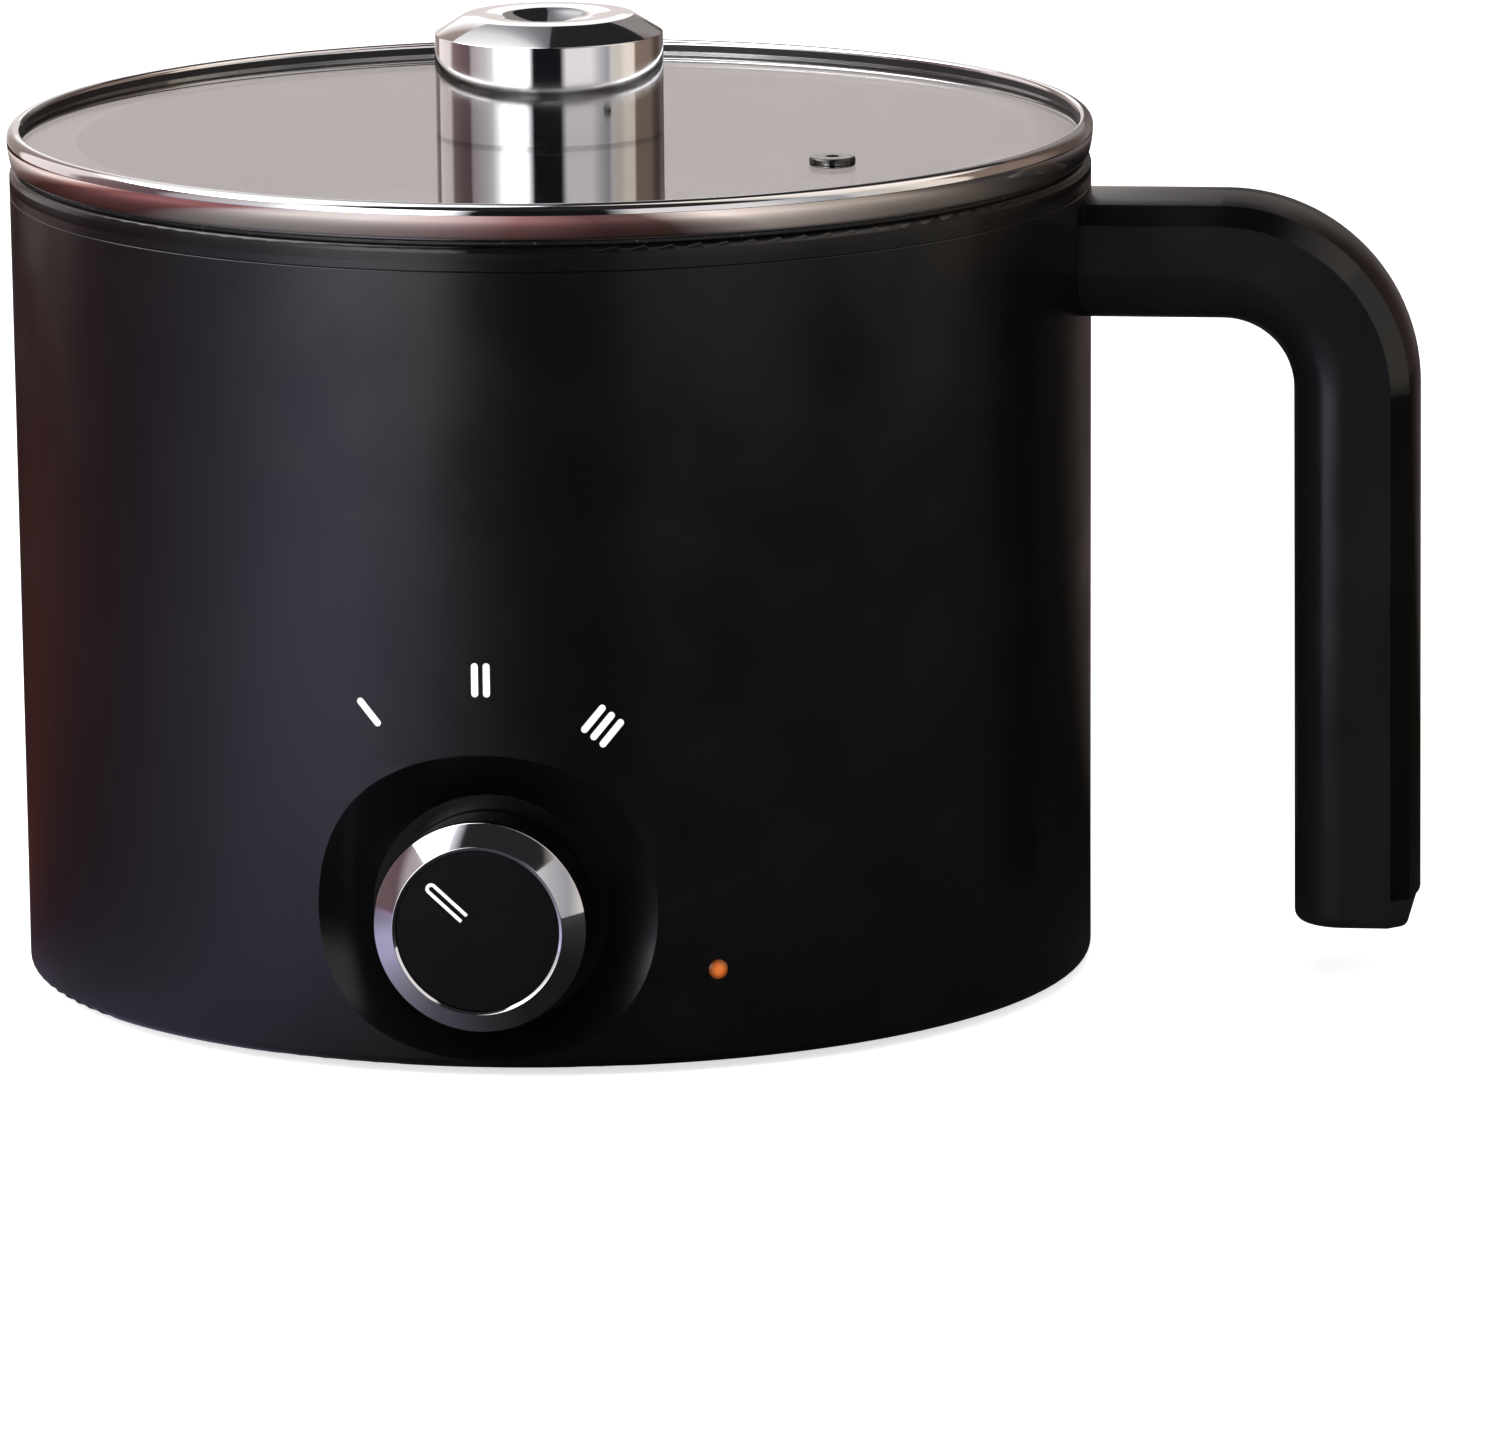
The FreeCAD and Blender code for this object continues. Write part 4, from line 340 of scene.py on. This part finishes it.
def brushed(name, color, roughness, stretch):
    """Sheet or turned steel with a fine grain along one direction."""
    finish = Finish(name, color, roughness, metallic=1.0)
    grain = finish.noise(900.0, 4.0, stretch)
    finish.tint(grain, [c * 0.75 for c in color], color)
    finish.rough(grain, roughness - 0.08, roughness + 0.1)
    finish.bump(grain, 0.25, 0.00003)
    return finish


def rubbery(name, color, light, roughness=0.78):
    finish = Finish(name, color, roughness)
    finish.tint(finish.noise(150.0, 4.0), color, light)
    finish.rough(finish.noise(400.0, 4.0), roughness - 0.08, roughness + 0.08)
    finish.bump(finish.noise(1500.0, 3.0), 0.4, 0.00006)
    return finish


def glass(name, roughness=0.015, tint=(1.0, 1.0, 1.0)):
    """Clear glass with a breath of haze that keeps it from being perfectly clean."""
    finish = Finish(name, tint, roughness, IOR=1.5, Transmission_Weight=1.0)
    finish.rough(finish.noise(45.0, 5.0), roughness * 0.5, roughness * 2.0)
    return finish


def printed(name, color):
    """Pad-printed ink: slightly uneven, with a faint raised grain."""
    finish = Finish(name, color, 0.5)
    finish.tint(finish.noise(1400.0, 4.0), [c * 0.93 for c in color], color)
    finish.bump(finish.noise(2800.0, 2.0), 0.2, 0.00002)
    return finish


def non_stick():
    """Dark coating with pale mineral flecks."""
    finish = Finish("non_stick", (0.012, 0.012, 0.013), 0.36)
    finish.tint(finish.cells(700.0), (0.09, 0.09, 0.093), (0.009, 0.009, 0.01), 0.12, 0.2)
    finish.rough(finish.noise(250.0, 5.0), 0.3, 0.44)
    finish.bump(finish.noise(900.0, 4.0), 0.3, 0.00005)
    return finish


def woven():
    """The fuse's glass-fibre sleeve, as one set of fine wavy threads."""
    finish = Finish("fuse_weave", (0.8, 0.78, 0.7), 0.85)
    wave = finish.node("ShaderNodeTexWave", Scale=900.0, Distortion=1.5)
    finish.link(finish.place, wave.inputs["Vector"])
    finish.tint(wave.outputs["Fac"], (0.6, 0.58, 0.5), (0.84, 0.82, 0.75), 0.2, 0.8)
    finish.bump(wave.outputs["Fac"], 0.6, 0.0001)
    return finish


def lit_lens():
    """The pilot lamp's orange lens: its glow brightest at its middle, and its base colour
    darkened towards the rim as painted shade.
    """
    finish = Finish("lit_lens", (0.3, 0.07, 0.012), 0.3, IOR=1.49)
    low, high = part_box("lamp_lens")
    beside = finish.node("ShaderNodeVectorMath", operation="SUBTRACT")
    beside.inputs[1].default_value = (0.0, 0.0, (low[2] + high[2]) / 2)
    finish.link(finish.place, beside.inputs[0])
    around = finish.node("ShaderNodeVectorMath", operation="CROSS_PRODUCT")
    around.inputs[1].default_value = direction(LENS_AZIMUTH)
    finish.link(beside.outputs["Vector"], around.inputs[0])
    reach = finish.node("ShaderNodeVectorMath", operation="LENGTH")
    finish.link(around.outputs["Vector"], reach.inputs[0])
    edge = finish.spread(reach.outputs["Value"], 0.0, 1.0, LENS_GLOW_AND_SHADE_START, LENS_GLOW_AND_SHADE_END)
    # Painted shade: the base colour darkens from the lens's middle to its rim, along with the
    # glow.
    finish.tint(edge, (0.3, 0.07, 0.012), (0.03, 0.006, 0.001), 0.0, 1.0)
    finish.tint(edge, (0.74, 0.16, 0.012), (0.04, 0.007, 0.001), 0.0, 1.0, "Emission Color")
    finish.put("Emission Strength", 0.5)
    return finish


def dress_nodes():
    black = (0.0018, 0.0018, 0.0019)
    moulded("shell_plastic", black, (0.0024, 0.0023, 0.0025), 0.22, depth=0.000015).give(
        "outer_shell")
    moulded("handle_plastic", (0.005, 0.0049, 0.006), (0.0062, 0.006, 0.0074), 0.22,
            depth=0.00002).give("handle_body")
    moulded("spine_plastic", (0.0004, 0.0004, 0.0004), (0.0006, 0.0006, 0.0006), 0.14,
            depth=0.000008).give("handle_cover")
    moulded("knob_plastic", (0.0012, 0.0012, 0.0012), (0.0016, 0.0016, 0.0016), 0.22,
            depth=0.00001).give("knob_body")
    moulded("cap_plastic", (0.0024, 0.0024, 0.0025), (0.0034, 0.0034, 0.0034), 0.12,
            depth=0.000005).give("knob_cap")
    moulded("base_plastic", (0.012, 0.012, 0.013), (0.018, 0.018, 0.019), 0.6,
            grain=1200.0, depth=0.0001).give("base_cover")
    moulded("inlet_plastic", (0.01, 0.01, 0.011), (0.014, 0.014, 0.014), 0.45).give("power_inlet")
    moulded("cream_plastic", (0.5, 0.47, 0.4), (0.58, 0.55, 0.47), 0.5).give(
        "rotary_switch", "lamp_holder")
    printed("white_print", (0.88, 0.88, 0.88)).give("level_marks", "knob_pointer")
    polished("chrome", (0.86, 0.86, 0.87), 0.05).give("lid_rim", "lid_knob", "knob_ring")
    moulded("rim_lining", (0.004, 0.004, 0.0042), (0.007, 0.007, 0.007), 0.5)
    brushed("grommet_steel", (0.1, 0.095, 0.09), 0.2, (1.0, 1.0, 8.0)).give("vent_grommet")
    glass("lid_glass").give("lid_glass")
    glass("lamp_glass", 0.03, (1.0, 0.95, 0.9)).give("neon_lamp")
    non_stick().give("inner_pot")
    lit_lens().give("lamp_lens")
    rubbery("silicone", (0.42, 0.41, 0.39), (0.5, 0.49, 0.47)).give("pot_gasket", "lid_washer")
    rubbery("foot_rubber", (0.02, 0.02, 0.02), (0.03, 0.03, 0.03)).give("foot_ring")
    brushed("cast_aluminium", (0.62, 0.62, 0.63), 0.5, (1.0, 1.0, 1.0)).give("heating_plate")
    brushed("heater_steel", (0.3, 0.28, 0.26), 0.42, (1.0, 1.0, 3.0)).give("heating_element")
    brushed("sheet_steel", (0.56, 0.56, 0.57), 0.35, (1.0, 12.0, 12.0)).give(
        "heat_shield", "thermostat", "fuse_clip", "handle_bracket", "knob_clip")
    brushed("screw_steel", (0.5, 0.5, 0.52), 0.3, (1.0, 1.0, 10.0)).give(
        "shield_standoffs", "shield_screws", "plate_screws", "switch_nut", "inlet_screws",
        "base_screws", "cover_screws", "handle_screws", "switch_shaft", "lid_knob_screw")
    polished("brass", (0.76, 0.58, 0.28), 0.18).give("inlet_pins", "lid_knob_insert")
    woven().give("thermal_fuse")
    for name, color, leads in (("brown", (0.18, 0.08, 0.035), ["live_lead"]),
                               ("blue", (0.04, 0.12, 0.45), ["neutral_lead"]),
                               ("red", (0.45, 0.035, 0.025), ["switched_lead", "heater_lead"]),
                               ("white", (0.7, 0.7, 0.67), ["lamp_leads"])):
        rubbery("lead_" + name, [c * 0.85 for c in color], color, 0.5).give(*leads)


# Turned chrome. The frame's own meshes of these are too coarse for a mirror.


def corner(before, point, after, radius, steps=8):
    """A rounded corner at point, as points on an arc that touches both of its sides."""
    here = Vector(point)
    ways = [(Vector(before) - here).normalized(), (Vector(after) - here).normalized()]
    half = ways[0].angle(ways[1]) / 2
    middle = here + (ways[0] + ways[1]).normalized() * (radius / math.sin(half))
    start, end = [here + way * (radius / math.tan(half)) - middle for way in ways]
    sweep = start.angle(end)
    points = []
    for number in range(steps + 1):
        share = number / steps
        spoke = (start * math.sin((1 - share) * sweep) + end * math.sin(share * sweep))
        points.append(tuple(middle + spoke / math.sin(sweep)))
    return points


def rounded(path):
    """A closed loop of (radius, height) with each entry's third number as its corner's round."""
    points = []
    for number, entry in enumerate(path):
        before, after = path[number - 1], path[(number + 1) % len(path)]
        if len(entry) == 2:
            points.append(entry)
        else:
            points += corner(before[:2], entry[:2], after[:2], entry[2])
    return points


def bulged(start, end, rise, steps=10):
    """Points between start and end that swell to the right of the way by rise at the middle."""
    start, end = Vector(start), Vector(end)
    way = end - start
    side = Vector((way.y, -way.x)).normalized()
    return [tuple(start + way * (number / steps)
                  + side * rise * math.sin(math.pi * number / steps))
            for number in range(1, steps)]


def turned(name, loop, node, spot=(0.0, 0.0), forward=False, lined=0):
    """The closed loop of (radius, height) turned about the pot's axis through spot, or forward
    about a level axis through (x, z), in place of a node of the frame. Its last sides, lined of
    them, have the black lining."""
    points, faces, finishes = [], [], []
    count = len(loop)
    for step in range(TURN_STEPS):
        turn = math.tau * step / TURN_STEPS
        for radius, height in loop:
            across, beside = radius * math.cos(turn), radius * math.sin(turn)
            if forward:
                points.append((spot[0] + across, -height, spot[1] + beside))
            else:
                points.append((spot[0] + across, spot[1] + beside, height))
        following = (step + 1) % TURN_STEPS
        for number in range(count):
            after = (number + 1) % count
            faces.append((step * count + number, following * count + number,
                          following * count + after, step * count + after))
            finishes.append(int(number >= count - lined))
    mesh = bpy.data.meshes.new(name)
    mesh.from_pydata(points, [], faces)
    mesh.materials.append(bpy.data.materials["chrome"])
    if lined:
        mesh.materials.append(bpy.data.materials["rim_lining"])
    mesh.polygons.foreach_set("material_index", finishes)
    mesh.polygons.foreach_set("use_smooth", [True] * len(mesh.polygons))
    mesh.set_sharp_from_angle(angle=math.radians(SHARP_ANGLE))
    piece = bpy.data.objects.new(name, mesh)
    bpy.context.scene.collection.objects.link(piece)
    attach(piece, body_of(nodes[node])[0])
    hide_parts(node)
    return piece


def turn_lid_rim():
    low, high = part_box("lid_rim")
    glass_low, glass_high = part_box("lid_glass")
    top, outer = high[2], high[0]
    foot = low[2] + RIM_SKIRT_DROP
    foot_outer = outer - RIM_TAPER
    wall = outer - RIM_WALL
    bead = outer - RIM_BEAD_WIDTH
    skirt = RIM_SKIRT_RADIUS
    lower = corner((skirt, foot), (foot_outer, foot), (outer, top), RIM_FOOT_ROUND)
    upper = corner((foot_outer, foot), (outer, top), (bead, top), RIM_ROUND)
    loop = [(skirt - RIM_LIP, low[2]), (skirt, low[2]), (skirt, foot)]
    loop += lower + bulged(lower[-1], upper[0], RIM_BULGE) + upper
    loop += corner((outer, top), (bead, top), (bead, glass_high[2]), RIM_BEAD_ROUND)
    seat = glass_low[2] - RIM_SEAT_GAP
    loop += [(bead, glass_high[2]), (wall, glass_high[2]), (wall, seat), (skirt - RIM_LIP, seat)]
    turned("lid_rim_turned", loop, "lid_rim", lined=RIM_LINED_SIDES)


def turn_lid_knob():
    low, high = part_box("lid_knob")
    foot, top, edge = low[2], high[2], high[0]
    crest = edge - LID_KNOB_SHOULDER
    well = crest - LID_KNOB_LAND
    ceiling = top - LID_KNOB_DISH - LID_KNOB_WALL - LID_KNOB_SLOPE
    inner = edge - LID_KNOB_WALL
    sphere = (well ** 2 + LID_KNOB_DISH ** 2) / (2 * LID_KNOB_DISH)
    land = top - LID_KNOB_CROWN
    loop = rounded([
        (LID_INSERT_RADIUS, foot), (LID_POST_RADIUS, foot), (LID_POST_RADIUS, ceiling),
        (inner, ceiling), (inner, foot), (edge, foot),
        (edge, top - LID_KNOB_SLOPE, EDGE_ROUND), (crest, land),
    ])
    loop += bulged((crest, land), (well, land), LID_KNOB_CROWN) + [(well, land)]
    for number in range(1, LID_KNOB_DISH_STEPS + 1):
        radius = well * (1 - number / (LID_KNOB_DISH_STEPS + 0.5))
        loop.append((radius, top - LID_KNOB_DISH + sphere - math.sqrt(sphere ** 2 - radius ** 2)))
    loop += [(AXIS_GAP, top - LID_KNOB_DISH), (AXIS_GAP, foot + LID_INSERT_LENGTH),
             (LID_INSERT_RADIUS, foot + LID_INSERT_LENGTH)]
    turned("lid_knob_turned", loop, "lid_knob")


def turn_knob_ring():
    low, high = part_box("knob_ring")
    front, back, outer = -low[1], -high[1], high[0]
    inner = outer - BEZEL_WIDTH
    loop = rounded([
        (inner, back), (outer, back), (outer, back + BEZEL_EDGE, EDGE_ROUND),
        (inner + BEZEL_BROW, front, EDGE_ROUND / 2), (inner, front - BEZEL_LEAD_IN),
    ])
    turned("knob_ring_turned", loop, "knob_ring", (0.0, (low[2] + high[2]) / 2), forward=True)


# Studio


def emitter(name, color, strength):
    material = bpy.data.materials.new(name)
    material.use_nodes = True
    tree = material.node_tree
    tree.nodes.clear()
    glow = tree.nodes.new("ShaderNodeEmission")
    glow.inputs["Color"].default_value = (*color, 1.0)
    glow.inputs["Strength"].default_value = strength
    out = tree.nodes.new("ShaderNodeOutputMaterial")
    tree.links.new(glow.outputs["Emission"], out.inputs["Surface"])
    return material


def seen_rays(tree):
    """1 for the rays that show the background: camera, glossy and transmission rays."""
    path = tree.nodes.new("ShaderNodeLightPath")
    total = path.outputs["Is Camera Ray"]
    for name in ("Is Glossy Ray", "Is Transmission Ray"):
        step = tree.nodes.new("ShaderNodeMath")
        step.operation = "MAXIMUM"
        tree.links.new(total, step.inputs[0])
        tree.links.new(path.outputs[name], step.inputs[1])
        total = step.outputs["Value"]
    return total


def make_world():
    world = bpy.data.worlds.new("studio")
    world.use_nodes = True
    bpy.context.scene.world = world
    tree = world.node_tree
    backdrop = tree.nodes["Background"]
    level = tree.nodes.new("ShaderNodeMapRange")
    level.inputs["To Min"].default_value = SKY_LEVEL
    level.inputs["To Max"].default_value = 1.0
    tree.links.new(seen_rays(tree), level.inputs["Value"])
    tree.links.new(level.outputs["Result"], backdrop.inputs["Strength"])
    backdrop.inputs["Color"].default_value = (1.0, 1.0, 1.0, 1.0)


def make_floor():
    """A pale floor that reads as white where nothing shades it."""
    half = FLOOR_SIZE / 2
    mesh = bpy.data.meshes.new("floor")
    mesh.from_pydata([(-half, -half, 0), (half, -half, 0), (half, half, 0), (-half, half, 0)],
                     [], [(0, 1, 2, 3)])
    floor = bpy.data.objects.new("floor", mesh)
    bpy.context.scene.collection.objects.link(floor)
    material = bpy.data.materials.new("floor")
    material.use_nodes = True
    shader = material.node_tree.nodes["Principled BSDF"]
    shader.inputs["Base Color"].default_value = (FLOOR_ALBEDO, FLOOR_ALBEDO, FLOOR_ALBEDO, 1.0)
    shader.inputs["Roughness"].default_value = 1.0
    shader.inputs["Specular IOR Level"].default_value = 0.0
    shader.inputs["Emission Color"].default_value = (1.0, 1.0, 1.0, 1.0)
    lift = material.node_tree.nodes.new("ShaderNodeMath")
    lift.operation = "MULTIPLY"
    lift.inputs[1].default_value = FLOOR_LIFT
    material.node_tree.links.new(seen_rays(material.node_tree), lift.inputs[0])
    material.node_tree.links.new(lift.outputs["Value"], shader.inputs["Emission Strength"])
    mesh.materials.append(material)


def mixed(stops, azimuth):
    """The colour between the two stops that an azimuth lies between."""
    for (start, low), (end, high) in zip(stops, stops[1:]):
        if start <= azimuth <= end:
            share = (azimuth - start) / (end - start)
            return [a + (b - a) * share for a, b in zip(low, high)]
    return stops[-1][1]


def make_surround(name, stops, foot, head):
    """A ring of panels from foot to head, each a (radius, height, gain). Only reflections show
    it, and only its inner or upper side glows: it is clear from the other."""
    points, tones, faces = [], [], []
    for number in range(PANEL_STEPS + 1):
        azimuth = -180 + 360 * number / PANEL_STEPS
        way = direction(azimuth + CAMERA_AZIMUTH)
        for radius, height, gain in (foot, head):
            points.append((way.x * radius, way.y * radius, height))
            tones += [*(part * gain for part in mixed(stops, azimuth)), 1.0]
        if number:
            last = len(points)
            faces.append((last - 3, last - 1, last - 2, last - 4))
    mesh = bpy.data.meshes.new(name)
    mesh.from_pydata(points, [], faces)
    mesh.attributes.new("tone", "FLOAT_COLOR", "POINT").data.foreach_set("color", tones)
    material = emitter(name, (1.0, 1.0, 1.0), 1.0)
    tree = material.node_tree
    tone = tree.nodes.new("ShaderNodeAttribute")
    tone.attribute_name = "tone"
    glow = tree.nodes["Emission"]
    tree.links.new(tone.outputs["Color"], glow.inputs["Color"])
    clear = tree.nodes.new("ShaderNodeBsdfTransparent")
    side = tree.nodes.new("ShaderNodeNewGeometry")
    choice = tree.nodes.new("ShaderNodeMixShader")
    tree.links.new(side.outputs["Backfacing"], choice.inputs["Fac"])
    tree.links.new(glow.outputs["Emission"], choice.inputs[1])
    tree.links.new(clear.outputs["BSDF"], choice.inputs[2])
    tree.links.new(choice.outputs["Shader"], tree.nodes["Material Output"].inputs["Surface"])
    mesh.materials.append(material)
    ring = bpy.data.objects.new(name, mesh)
    bpy.context.scene.collection.objects.link(ring)
    ring.visible_camera = False
    ring.visible_diffuse = False
    ring.visible_shadow = False


def make_lamp(name, azimuth, elevation, distance, width, height, power, color):
    data = bpy.data.lights.new(name, "AREA")
    data.shape = "RECTANGLE"
    data.size = width
    data.size_y = height
    data.energy = power
    data.color = color
    lamp = bpy.data.objects.new(name, data)
    away = direction(azimuth, elevation)
    lamp.location = AIM + away * distance
    lamp.rotation_mode = "QUATERNION"
    lamp.rotation_quaternion = away.to_track_quat("Z", "Y")
    lamp.visible_glossy = False
    bpy.context.scene.collection.objects.link(lamp)


def make_studio():
    make_world()
    make_floor()
    for panel in PANELS:
        make_surround(*panel)
    for lamp in LAMPS:
        make_lamp(*lamp)


make_camera()
dress_nodes()
turn_lid_rim()
turn_lid_knob()
turn_knob_ring()
make_studio()
scene = bpy.context.scene
scene.view_settings.view_transform = "Standard"
